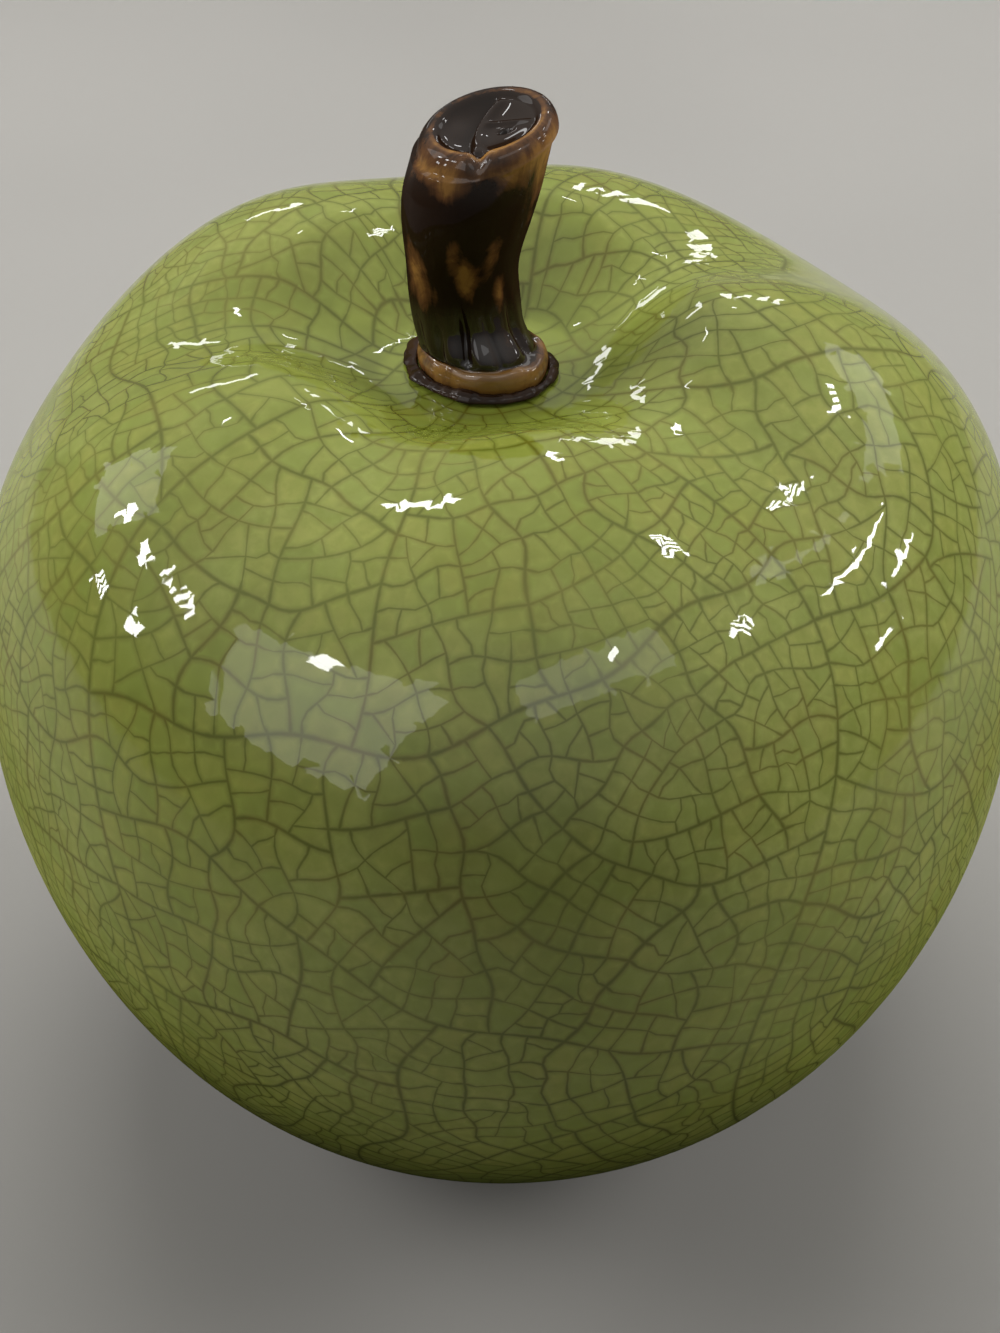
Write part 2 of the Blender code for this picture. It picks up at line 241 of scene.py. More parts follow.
# Where the grooves start, over how much they deepen and where they begin to fade, as shares of the
# length; how many degrees they drift; and the power that shapes their sides
GROOVE_START = 0.10
GROOVE_RISE = 0.03
GROOVE_FADE = 0.14
GROOVE_DRIFT = 8.0
GROOVE_POWER = 1.6

# Where the stem's glaze lies thinner (+) or thicker (-): (direction, share of the length, half
# width in degrees, half height as a share, how much)
STEM_STREAKS = (
    (-87, 0.45, 11, 0.12, 1.2), (-64, 0.58, 8, 0.08, 1.0), (-101, 0.60, 8, 0.06, 1.0),
    (-147, 0.44, 16, 0.16, 0.95), (-44, 0.40, 9, 0.09, 1.1), (-140, 0.97, 22, 0.10, 0.9),
    (-114, 0.88, 17, 0.08, 0.8), (-56, 0.93, 24, 0.11, 0.75), (-22, 0.88, 24, 0.20, 0.8),
    (-84, 0.84, 7, 0.12, -0.6), (-124, 0.72, 24, 0.11, -0.6), (-60, 0.74, 18, 0.08, -0.5),
    (10, 0.50, 16, 0.14, 0.9), (58, 0.46, 14, 0.12, 1.0), (104, 0.52, 16, 0.14, 0.9),
    (150, 0.48, 14, 0.16, 1.0), (80, 0.92, 24, 0.10, 0.6), (30, 0.75, 20, 0.12, -0.5),
    (130, 0.76, 26, 0.14, -0.5),
)

# Heights over which the body's glaze changes: from painted shade at the foot to plain, from
# lines darkened by painted shade to plain ones, and dull to glossy face on and at a slant
FOOT_PAINTED_SHADE = (28.0 * MM, 78.0 * MM)
FOOT_LINES_PAINTED_SHADE = (22.0 * MM, 125.0 * MM)
COAT_RISE = (45.0 * MM, 132.0 * MM)
EDGE_RISE = (105.0 * MM, 160.0 * MM)

# Distances from the stem's seat over which the glaze goes from deep to plain (glaze pooled in
# the well, and painted shade of the stem), ends its climb up the stem, and reaches the roll round
# it
WELL_POOL_AND_SHADE = (14.0 * MM, 56.0 * MM)
WELL_CLIMB = (13.0 * MM, 19.0 * MM)
WELL_ROLL = (17.0 * MM, 27.0 * MM)

# Shares of the stem's length over which its glaze dulls above the foot and shines again above
FOOT_SHINE = (0.22, 0.36)
RIM_SHINE = (0.74, 0.92)

# Colours of the bare clay, of the bead's thin glaze and of the felt
CLAY_PALE = (0.56, 0.50, 0.40, 1.0)
CLAY_BUFF = (0.44, 0.37, 0.27, 1.0)
CLAY_SPECK = (0.16, 0.09, 0.05, 1.0)
BEAD_BROWN = (0.030, 0.014, 0.007, 1.0)
FELT_DARK = (0.034, 0.024, 0.018, 1.0)
FELT_PALE = (0.105, 0.078, 0.058, 1.0)
FELT_DUST = (0.07, 0.055, 0.043, 1.0)

# Clear coat of the fired glazes
COAT_IOR = 1.5
EDGE_GLOSS = 0.25

# Lamps: name, direction from the front to the right, elevation, distance, size, radiance, whether
# it shows in the glaze or lights the clay, and into how many strips it is parted
LAMPS = (
    ("overhead", 180, 60, 1.0, (0.8, 0.8), 5.2, False, 1),
    ("front_fill", -10, 32, 1.5, (0.9, 0.9), 1.4, False, 1),
    ("left_fill", -104, 22, 1.5, (0.9, 0.7), 12.4, False, 1),
    ("right_fill", 104, 22, 1.5, (0.9, 0.7), 12.4, False, 1),
    ("left_card", -114, 33, 2.0, (0.8, 0.9), 1.5, True, 1),
    ("right_card", 122, 36, 2.0, (0.9, 0.5), 1.5, True, 1),
    ("front_left_card", -46, 36, 2.0, (0.95, 1.15), 1.5, True, 1),
    ("front_left_corner", -57, 50, 2.0, (0.10, 0.12), 20.0, True, 1),
    ("front_right_card", 34, 55, 2.0, (1.5, 0.5), 1.1, True, 1),
    ("front_right_corner", 46, 57, 2.0, (0.10, 0.08), 20.0, True, 1),
    ("left_lamp_1", -102, 34, 1.6, (0.11, 0.15), 24.0, True, 1),
    ("left_lamp_2", -88, 37, 1.6, (0.11, 0.12), 28.0, True, 1),
    ("left_lamp_3", -76, 40, 1.6, (0.22, 0.12), 24.0, True, 5),
    ("left_lamp_4", -91, 17, 1.6, (0.16, 0.14), 20.0, True, 4),
    ("left_lamp_5", -78, 21, 1.6, (0.08, 0.15), 20.0, True, 1),
    ("right_lamp_1", 99, 33, 1.6, (0.09, 0.035), 30.0, True, 1),
    ("right_lamp_2", 120, 51, 1.6, (0.18, 0.10), 26.0, True, 4),
    ("right_lamp_3", 98, 23, 1.6, (0.12, 0.05), 22.0, True, 1),
    ("right_lamp_4", 88, 40, 1.6, (0.16, 0.09), 24.0, True, 3),
    ("right_lamp_5", 91, 16, 1.6, (0.08, 0.05), 20.0, True, 1),
    ("back_lamp_1", 170, 42, 1.8, (0.16, 0.05), 20.0, True, 1),
    ("back_lamp_2", -150, 52, 1.8, (0.12, 0.06), 20.0, True, 1),
    ("back_window", 166, 19, 2.2, (0.50, 0.26), 6.0, True, 4),
    ("back_left_window", -160, 19, 2.2, (0.42, 0.12), 6.0, True, 1),
)
STRIP_SHARE = 0.55

# Surroundings: colour, level at the horizon and high up, the soft light that they give, and
# between which distances the floor goes over into them
SURROUNDINGS = (1.0, 0.99, 0.96, 1.0)
HORIZON_LEVEL = 0.24
SKY_LEVEL = 0.78
SKY_HEIGHT = 0.85
SOFT_LIGHT = 0.07
FLOOR_HALF = 8.0
FLOOR_FADE = (0.75, 1.25)

# Camera
CAMERA_TARGET = Vector((-0.95 * MM, 1.07 * MM, 86.2 * MM))
CAMERA_DISTANCE = 367.0 * MM
CAMERA_PITCH = math.radians(40)
CAMERA_FOCAL_PIXELS = 1800.0
PHOTO_HEIGHT_PIXELS = 1333.0
SENSOR = 36.0


def smooth_step(value):
    """Ease from 0 to 1, held at the ends."""
    value = np.clip(value, 0.0, 1.0)
    return value * value * (3.0 - 2.0 * value)


def mix(first, second, share):
    """Value that lies the given share of the way from first to second."""
    return first + (second - first) * share


def wave_sum(waves, angle):
    """Sum of the swells that meet at an angle round the apple."""
    return sum(height * np.cos(count * (angle - at)) for count, height, at in waves)


def past(area, start, width):
    """How far a cell's area, as a power of ten of a square millimetre, is past a start."""
    return float(smooth_step((math.log10(area / MM**2) - start) / width))


def unit(rows):
    """Vectors brought to length 1."""
    return rows / np.maximum(np.linalg.norm(rows, axis=1, keepdims=True), 1e-12)


def round_angles(count):
    """Angles of points spaced evenly round the axis."""
    return 2 * math.pi * np.arange(count) / count


def around(radius, angle, height):
    """Points at a radius and a height round the axis."""
    return np.stack((radius * np.cos(angle), radius * np.sin(angle), height), 1)


def run_along(places):
    """Length of a path up to each of its points."""
    return np.concatenate(([0.0], np.cumsum(np.linalg.norm(np.diff(places, axis=0), axis=1))))


def bands(rings):
    """Quads between rings of point numbers, each ring joined to the next."""
    quads = []
    for lower, upper in zip(rings, rings[1:]):
        quads += np.stack((lower, np.roll(lower, -1), np.roll(upper, -1), upper), 1).tolist()
    return quads


def smooth_mesh(name, places, faces):
    """Mesh with smooth shading."""
    mesh = bpy.data.meshes.new(name)
    mesh.from_pydata(places.tolist(), [], faces)
    mesh.shade_smooth()
    return mesh


def carry(mesh, name, rows):
    """Give each point of a mesh a value that its material reads."""
    layer = mesh.attributes.new(name, "FLOAT", "POINT")
    layer.data.foreach_set("value", rows.astype(np.float32))


def bezier(start, handle_out, handle_in, end, steps):
    """Rows of (radius, height) along one Bezier stretch, without its first point."""
    t = np.linspace(0.0, 1.0, steps + 1)[1:, None]
    s = 1.0 - t
    nodes = [np.array(place) for place in (start, handle_out, handle_in, end)]
    return s**3 * nodes[0] + 3 * s * s * t * nodes[1] + 3 * s * t * t * nodes[2] + t**3 * nodes[3]


def skin_outline(steps):
    """Outline of the glazed skin from under the stem, over the shoulder, to the foot ring."""
    foot = (FOOT_RING_RADIUS, FOOT_PLANE + FOOT_EDGE)
    well_run = SHOULDER_RADIUS - WELL_FLOOR_RADIUS
    side_run = GIRTH_RADIUS - SHOULDER_RADIUS
    foot_run = FOOT_REACH * (GIRTH_RADIUS - FOOT_RING_RADIUS)
    floor = np.linspace(NET_TOP_RADIUS, WELL_FLOOR_RADIUS, steps // 4)
    return np.vstack((
        np.stack((floor, np.full_like(floor, WELL_FLOOR)), 1),
        bezier(
            (WELL_FLOOR_RADIUS, WELL_FLOOR),
            (WELL_FLOOR_RADIUS + WELL_FLOOR_REACH * well_run, WELL_FLOOR),
            (SHOULDER_RADIUS - SHOULDER_REACH * well_run, SHOULDER_HEIGHT),
            (SHOULDER_RADIUS, SHOULDER_HEIGHT), steps),
        bezier(
            (SHOULDER_RADIUS, SHOULDER_HEIGHT),
            (SHOULDER_RADIUS + SHOULDER_REACH * side_run, SHOULDER_HEIGHT),
            (GIRTH_RADIUS, mix(GIRTH_HEIGHT, SHOULDER_HEIGHT, GIRTH_UPPER_REACH)),
            (GIRTH_RADIUS, GIRTH_HEIGHT), steps),
        bezier(
            (GIRTH_RADIUS, GIRTH_HEIGHT),
            (GIRTH_RADIUS, GIRTH_HEIGHT - GIRTH_LOWER_REACH * (GIRTH_HEIGHT - foot[1])),
            (foot[0] + foot_run * math.cos(FOOT_RISE), foot[1] + foot_run * math.sin(FOOT_RISE)),
            foot, steps),
    ))


def shaped(radius, height, angle):
    """Points of the turned shape, moved to where the body's swells put them."""
    above = (height - GIRTH_HEIGHT) / (SHOULDER_HEIGHT - GIRTH_HEIGHT)
    below = (GIRTH_HEIGHT - height) / (GIRTH_HEIGHT - FOOT_PLANE - FOOT_EDGE)
    push = np.where(
        radius < FOOT_RING_RADIUS, 0.0, 1.0 - np.clip(np.maximum(above, below), 0.0, 1.0) ** 2)
    out = (radius - WELL_FLOOR_RADIUS) / (SHOULDER_RADIUS - WELL_FLOOR_RADIUS)
    lift = smooth_step(above) * smooth_step(out) * wave_sum(SHOULDER_WAVES, angle)
    reach = radius + push * wave_sum(GIRTH_WAVES, angle)
    return np.stack((
        AXIS.x + reach * np.cos(angle), AXIS.y + reach * np.sin(angle), height + lift), -1)


class Skin:
    """The glazed surface, addressed by the angle round it and a rise that keeps angles true."""

    def __init__(self):
        outline = skin_outline(OUTLINE_STEPS)
        drop = np.arctan2(outline[:, 0], outline[:, 1] - BODY_MIDDLE)
        self.rises = -np.log(np.tan(drop / 2))[::-1]
        self.radii = outline[::-1, 0] - GLAZE_TUCK * np.sin(drop[::-1])
        self.heights = outline[::-1, 1] - GLAZE_TUCK * np.cos(drop[::-1])
        self.low, self.high = self.rises[0], self.rises[-1]

    def place(self, turn, rise):
        """Points of the surface."""
        turn, rise = np.asarray(turn, float), np.asarray(rise, float)
        return shaped(
            np.interp(rise, self.rises, self.radii), np.interp(rise, self.rises, self.heights),
            turn)

    def normal(self, turn, rise):
        """Outward normals of the surface."""
        step = 0.002
        turn, rise = np.asarray(turn, float), np.clip(rise, self.low + step, self.high - step)
        round_way = self.place(turn + step, rise) - self.place(turn - step, rise)
        up_way = self.place(turn, rise + step) - self.place(turn, rise - step)
        normal = np.cross(round_way, up_way)
        return normal / np.linalg.norm(normal, axis=-1, keepdims=True)


class CrackNet:
    """Network of cracks that splits the skin into cells."""

    def __init__(self, skin, spacing, cell_area, seed):
        self.skin = skin
        self.spacing = spacing
        self.cell_area = cell_area
        self.chance = random.Random(seed)
        self.turns, self.rises, self.world = [], [], []
        self.cells, self.side, self.strength = {}, {}, {}
        self.joined = []
        self.grow_first_cracks()
        self.split_all()

    def add_point(self, turn, rise):
        """Number of a new point of the network."""
        self.turns.append(turn)
        self.rises.append(rise)
        self.world.append(self.skin.place(turn, rise))
        self.joined.append(2)
        return len(self.turns) - 1

    def set_cell(self, number, loop):
        """Record a cell's outline and which cell lies beside each of its edges."""
        self.cells[number] = loop
        for first, second in zip(loop, loop[1:] + loop[:1]):
            self.side[first, second] = number

    def mark(self, path, strength):
        """Record how strong the crack is along a path of points."""
        for first, second in zip(path, path[1:]):
            self.strength[min(first, second), max(first, second)] = strength

    def grow_first_cracks(self):
        """The oldest cracks run from under the stem down to the foot."""
        rims = []
        for rise in (self.skin.high, self.skin.low):
            rims.append([
                self.add_point(2 * math.pi * step / RIM_POINTS, rise)
                for step in range(RIM_POINTS)])
        top, foot = rims
        lines = []
        for top_step, foot_step, wave in FIRST_CRACKS:
            share = np.linspace(0.0, 1.0, FIRST_CRACK_STEPS)
            turn = 2 * math.pi / RIM_POINTS * mix(top_step, foot_step, share)
            turn = turn + wave * np.sin(2 * math.pi * share)
            turn = turn + 0.6 * wave * np.sin(5 * math.pi * share)
            rise = mix(self.skin.high, self.skin.low, share)
            run = run_along(self.skin.place(turn, rise))
            stops = np.linspace(0.0, run[-1], int(run[-1] / self.spacing) + 1)[1:-1]
            inner = [
                self.add_point(float(np.interp(s, run, turn)), float(np.interp(s, run, rise)))
                for s in stops]
            line = [top[top_step], *inner, foot[foot_step]]
            self.mark(line, 1.0)
            lines.append(line)
        for number, (here, after) in enumerate(zip(lines, lines[1:] + lines[:1])):
            foot_run = self.rim_run(foot, here[-1], after[-1])
            top_run = self.rim_run(top, here[0], after[0])
            self.set_cell(number, foot_run + after[1:-1][::-1] + top_run[::-1] + here[1:-1])
        self.rims = rims

    @staticmethod
    def rim_run(rim, first, last):
        """Points of a rim from one of them round to another."""
        start, count = rim.index(first), rim.index(last) - rim.index(first)
        return [rim[(start + step) % RIM_POINTS] for step in range(count % RIM_POINTS + 1)]

    def flat(self, loop):
        """Outline of a cell on the true-angle chart, unrolled from its first point."""
        turn = np.unwrap(np.array([self.turns[point] for point in loop]))
        return np.stack((turn, np.array([self.rises[point] for point in loop])), 1)

    def area(self, loop):
        """Area of a cell on the surface."""
        places = np.array([self.world[point] for point in loop])
        return np.linalg.norm(np.cross(places, np.roll(places, -1, 0)).sum(0)) / 2

    def wanted_area(self, turn, rise):
        """Area under which a cell no longer cracks; the well's glaze cracks less."""
        patch = 1.0
        for much, waves_round, waves_up, shift in PATCHES:
            patch = patch + much * math.sin(waves_round * turn + waves_up * rise + shift)
        start, width, much = WELL_PATCH
        in_well = float(smooth_step((rise - start) / width))
        return self.cell_area * patch * (1.0 + much * in_well)

    def split_all(self):
        """Split cells until each is small enough."""
        waiting = sorted(self.cells)
        made = len(waiting)
        while waiting:
            number = waiting.pop(0)
            loop = self.cells[number]
            flat = self.flat(loop)
            area = self.area(loop)
            middle = flat.mean(0)
            if area < self.wanted_area(*middle) * self.chance.uniform(*AREA_LUCK):
                continue
            if self.split(number, made, flat, area):
                waiting += [number, made]
                made += 1

    def split(self, number, fresh, flat, area):
        """Cut one cell in two with a curved crack that meets its outline squarely."""
        following = np.roll(flat, -1, 0)
        cross = flat[:, 0] * following[:, 1] - following[:, 0] * flat[:, 1]
        lengths = np.hypot(*(following - flat).T)
        centre = ((flat + following) * cross[:, None]).sum(0) / (3 * cross.sum())
        spread = np.cov(((flat + following) / 2 - centre).T, aweights=lengths)
        sizes, ways = np.linalg.eigh(spread)
        long_way, reach = ways[:, 1], math.sqrt(sizes[1])
        scale = float(np.interp(centre[1], self.skin.rises, self.skin.radii))
        loose = past(area, *FREE_CRACK)
        carried = self.junctions(self.cells[number], flat) if loose < CARRY_ON_BELOW else []
        running = [np.concatenate(([0.0], np.cumsum(row))) for row in (lengths, cross)]
        options = []
        for _ in range(CRACK_TRIES):
            origin = centre + long_way * reach * self.chance.gauss(0.0, CRACK_SPREAD)
            angle = math.atan2(long_way[1], long_way[0]) + math.pi / 2
            angle = angle + self.chance.gauss(0.0, CRACK_SPREAD)
            ends = self.crossing(flat, following, origin, (math.cos(angle), math.sin(angle)))
            if ends is None:
                continue
            if self.chance.random() < CARRY_ON:
                near = CARRY_REACH / scale * (1.0 + 1.5 * loose)
                ends = [self.carried_end(end, carried, flat, near) for end in ends]
            ends = [self.seat(end, self.cells[number], flat, carried) for end in ends]
            if None in ends:
                continue
            apart = abs(ends[0][0] - ends[1][0])
            if 2 <= apart <= len(flat) - 2:
                luck = self.chance.uniform(1.0 - 0.12 - 0.25 * loose, 1.0)
                options.append((self.merit(flat, running, ends) * luck, ends))
        options.sort(key=lambda option: -option[0])
        for attempt, (_, ends) in enumerate(options[:CRACK_CHOICES]):
            path = self.crack_path(flat, ends, scale, 1.0 - attempt / CRACK_CHOICES, loose)
            if path is not None:
                self.cut(number, fresh, ends, path, area)
                return True
        return False

    def merit(self, flat, running, ends):
        """How compact the two cells that a straight crack leaves are, and how square its ends."""
        (edge_a, _, start), (edge_b, _, end) = sorted(ends, key=lambda item: item[0])
        runs, crosses = running
        after = flat[edge_a + 1] if edge_a + 1 < len(flat) else flat[0]
        before = flat[edge_b]
        chord = float(np.hypot(*(end - start)))
        one_run = (
            runs[edge_b] - runs[edge_a + 1] + np.hypot(*(after - start))
            + np.hypot(*(end - before)))
        pairs = ((start, after), (before, end), (end, start))
        one = (
            crosses[edge_b] - crosses[edge_a + 1]
            + sum(p[0] * q[1] - q[0] * p[1] for p, q in pairs))
        other, other_run = crosses[-1] - one, runs[-1] - one_run
        compact = min(abs(one) / (one_run + chord) ** 2, abs(other) / (other_run + chord) ** 2)
        balance = min(abs(one), abs(other)) / (abs(one) + abs(other))
        straight = (end - start) / max(chord, 1e-9)
        square = 1.0
        for edge in (edge_a, edge_b):
            along = flat[(edge + 2) % len(flat)] - flat[edge - 1]
            along = along / max(np.hypot(*along), 1e-9)
            square *= math.sqrt(max(abs(along[0] * straight[1] - along[1] * straight[0]), 0.0))
        return compact * square * balance**0.25

    def junctions(self, loop, flat):
        """Places on the outline where a crack next door ends, which one here can carry on."""
        count = len(loop)
        found = []
        for at, point in enumerate(loop):
            if self.joined[point] == 3:
                back, ahead = flat[at] - flat[at - 2], flat[(at + 2) % count] - flat[at]
                if back @ ahead > 0.85 * np.hypot(*back) * np.hypot(*ahead):
                    found.append(at)
        return found

    @staticmethod
    def carried_end(end, carried, flat, near):
        """The end of a crack, moved to a junction that lies near it."""
        gaps = [(float(np.hypot(*(flat[at] - end[2]))), at) for at in carried]
        if gaps and min(gaps)[0] < near:
            at = min(gaps)[1]
            return (at, 0.0, flat[at])
        return end

    @staticmethod
    def crossing(flat, following, origin, way):
        """Where a line through the origin leaves the cell on either side."""
        away = flat - origin
        side = way[0] * away[:, 1] - way[1] * away[:, 0]
        side_after = np.roll(side, -1)
        hit = np.nonzero((side > 0) != (side_after > 0))[0]
        share = side[hit] / (side[hit] - side_after[hit])
        places = flat[hit] + (following[hit] - flat[hit]) * share[:, None]
        along = (places - origin) @ np.array(way)
        ahead, behind = along > 0, along <= 0
        if ahead.sum() % 2 == 0 or behind.sum() % 2 == 0:
            return None
        if abs(int(hit[0]) - int(hit[-1])) < 2:
            return None
        first = np.nonzero(ahead)[0][np.argmin(along[ahead])]
        last = np.nonzero(behind)[0][np.argmax(along[behind])]
        return [(int(hit[at]), float(share[at]), places[at]) for at in (last, first)]

    def crack_path(self, flat, ends, scale, bend, loose):
        """Points of a crack between two places on the outline, None if it would leave the cell.

        A lower bend gives a straighter crack, and in a large, loose cell it wanders more.
        """
        count = len(flat)
        (edge_a, _, start), (edge_b, _, end) = ends
        run = end - start
        length = float(np.hypot(*run))
        pieces = max(2, int(round(length * scale / self.spacing)))
        inward = []
        for edge in (edge_a, edge_b):
            along = flat[(edge + 2) % count] - flat[(edge - 1) % count]
            along = along / max(np.hypot(*along), 1e-9)
            inward.append(np.array((-along[1], along[0])))
        straight = run / length
        square = mix(0.85, 0.95, loose) * bend
        leave = square * inward[0] + (1 - square) * straight
        arrive = -square * inward[1] + (1 - square) * straight
        if leave @ straight < 0.3 or arrive @ straight < 0.3:
            leave = arrive = straight
        s = np.linspace(0.0, 1.0, pieces + 1)[1:-1, None]
        pull = length * min(1.0, leave @ straight, arrive @ straight)
        # Hermite curve between the ends, with a bow and a sway across it
        path = (
            (2 * s**3 - 3 * s**2 + 1) * start + (s**3 - 2 * s**2 + s) * pull * leave
            + (3 * s**2 - 2 * s**3) * end + (s**3 - s**2) * pull * arrive)
        across = np.array((-straight[1], straight[0]))
        bow = self.chance.gauss(0.0, mix(0.03, 0.09, loose)) * bend
        sway = self.chance.gauss(0.0, 0.035) * bend
        wander = bow * np.sin(np.pi * s) + sway * np.sin(2 * np.pi * s)
        if length * scale > LONG_CRACK:
            for waves in (3, 5, 8):
                swing = bend * self.chance.gauss(0.0, 0.045 / waves)
                wander = wander + swing * np.sin(waves * np.pi * s)
        path = path + across * wander * length
        return path if self.stays_inside(path, flat, scale) else None

    @staticmethod
    def stays_inside(path, flat, scale):
        """True if the path keeps inside the outline and clear of it."""
        following = np.roll(flat, -1, 0)
        edge = following - flat
        x, y = path[:, :1], path[:, 1:]
        climbs = (flat[:, 1] > y) != (following[:, 1] > y)
        slope = edge[:, 0] / np.where(edge[:, 1] == 0.0, 1.0, edge[:, 1])
        if not ((climbs & (x < flat[:, 0] + (y - flat[:, 1]) * slope)).sum(1) % 2).all():
            return False
        reach = np.maximum((edge**2).sum(1), 1e-12)
        away_x, away_y = x - flat[:, 0], y - flat[:, 1]
        share = np.clip((away_x * edge[:, 0] + away_y * edge[:, 1]) / reach, 0, 1)
        gaps = np.hypot(
            flat[:, 0] + edge[:, 0] * share - x, flat[:, 1] + edge[:, 1] * share - y).min(1)
        least = np.full(len(path), CRACK_CLEARANCE)
        least[[0, -1]] = CRACK_END_CLEARANCE
        return bool((gaps * scale > least).all())

    def seat(self, end, loop, flat, carried):
        """The end of a crack, moved to the nearest point of the outline that can take it."""
        edge, _, place = end
        count = len(loop)
        near = [(edge + step) % count for step in (-1, 0, 1, 2)]
        open_ones = [at for at in near if self.joined[loop[at]] == 2 or at in carried]
        if not open_ones:
            return None
        at = min(open_ones, key=lambda spot: float(np.hypot(*(flat[spot] - place))))
        return (at, 0.0, flat[at])

    def cut(self, number, fresh, ends, path, area):
        """Part a cell along a path."""
        loop = self.cells[number]
        start, end = (loop[spot] for spot, _, _ in ends)
        inner = [self.add_point(float(place[0]), float(place[1])) for place in path]
        older = past(area, *OLD_CRACK)
        strength = mix(YOUNG_STRENGTH, 1.0, older) * self.chance.uniform(*STRENGTH_LUCK)
        self.mark([start, *inner, end], strength)
        self.joined[start] += 1
        self.joined[end] += 1
        at_start, at_end = loop.index(start), loop.index(end)
        if at_start < at_end:
            one, other = loop[at_start:at_end + 1], loop[at_end:] + loop[:at_start + 1]
        else:
            one, other = loop[at_start:] + loop[:at_end + 1], loop[at_end:at_start + 1]
        self.set_cell(number, one + inner[::-1])
        self.set_cell(fresh, other + inner)


def closing_rings():
    """Outline of the foot ring, the vent, the hollow inside and the socket, from foot to well."""
    inside = RECESS_HEIGHT + WALL
    foot = [
        (FOOT_RING_RADIUS - 0.3 * MM, FOOT_PLANE + 0.45 * MM),
        (FOOT_RING_RADIUS - FOOT_EDGE, FOOT_PLANE), (43.0 * MM, FOOT_PLANE),
        (FOOT_RING_INNER + 0.7 * MM, FOOT_PLANE),
        (FOOT_RING_INNER - 0.1 * MM, FOOT_PLANE + 0.25 * MM),
        (RECESS_RADIUS + 0.4 * MM, RECESS_HEIGHT - 0.25 * MM),
        (RECESS_RADIUS - 0.5 * MM, RECESS_HEIGHT), (20.0 * MM, RECESS_HEIGHT),
        (VENT_RADIUS + FOOT_EDGE, RECESS_HEIGHT),
        (VENT_RADIUS + 0.25 * MM, RECESS_HEIGHT + 0.35 * MM),
        (VENT_RADIUS, RECESS_HEIGHT + FOOT_EDGE), (VENT_RADIUS, inside), (18.0 * MM, inside),
        (32.0 * MM, inside - 0.4 * MM), (42.0 * MM, inside - 1.8 * MM)]
    outline = skin_outline(16)[::-1]
    ahead = np.gradient(outline, axis=0)
    ahead /= np.linalg.norm(ahead, axis=1, keepdims=True)
    inner = outline + WALL * np.stack((-ahead[:, 1], ahead[:, 0]), 1)
    inner = inner[inner[:, 0] > SOCKET_RADIUS + 4.0 * MM]
    socket = [
        (SOCKET_RADIUS, WELL_FLOOR - WALL), (SOCKET_RADIUS, WELL_FLOOR - 0.5 * MM),
        (SOCKET_RADIUS + 0.15 * MM, WELL_FLOOR - 0.15 * MM), (SOCKET_RADIUS + 0.6 * MM, WELL_FLOOR)]
    return np.vstack((foot, inner, socket))


def rim_loop(net, rise):
    """Points of the network on one of its rims, in order round it."""
    return sorted(
        (number for number, here in enumerate(net.rises) if here == rise),
        key=lambda number: net.turns[number] % (2 * math.pi))


def cut_cells(mesh):
    """Part the faces of more than four points into triangles, which bend with the skin."""
    work = bmesh.new()
    work.from_mesh(mesh)
    wide = [face for face in work.faces if len(face.verts) > 4]
    bmesh.ops.triangulate(work, faces=wide, ngon_method="BEAUTY")
    work.to_mesh(mesh)
    work.free()


def cell_room(places, here, starts, sizes):
    """Distance from each side's first point to the nearest point that isn't its neighbour."""
    room = np.empty(len(here))
    for size in np.unique(sizes):
        at = starts[sizes == size][:, None] + np.arange(size)
        spots = places[here[at]]
        apart = np.linalg.norm(spots[:, :, None] - spots[:, None], axis=-1)
        steps = np.abs(np.arange(size)[:, None] - np.arange(size))
        apart[:, np.minimum(steps, size - steps) < 2] = np.inf
        room[at] = apart.min(-1)
    return room


def bridge(net, rim, rise, ring, at_foot):
    """Faces between a rim of the network and the ring of points that closes it."""
    whole = rim_loop(net, rise)
    spots = {point: spot for spot, point in enumerate(whole)}
    faces = []
    for step in range(RIM_POINTS):
        onward = (step + 1) % RIM_POINTS
        first, last = spots[rim[step]], spots[rim[onward]]
        edge = whole[first:last + 1] if first < last else whole[first:] + whole[:last + 1]
        if at_foot:
            faces.append(edge[::-1] + [int(ring[step]), int(ring[onward])])
        else:
            faces.append(edge + [int(ring[onward]), int(ring[step])])
    return faces


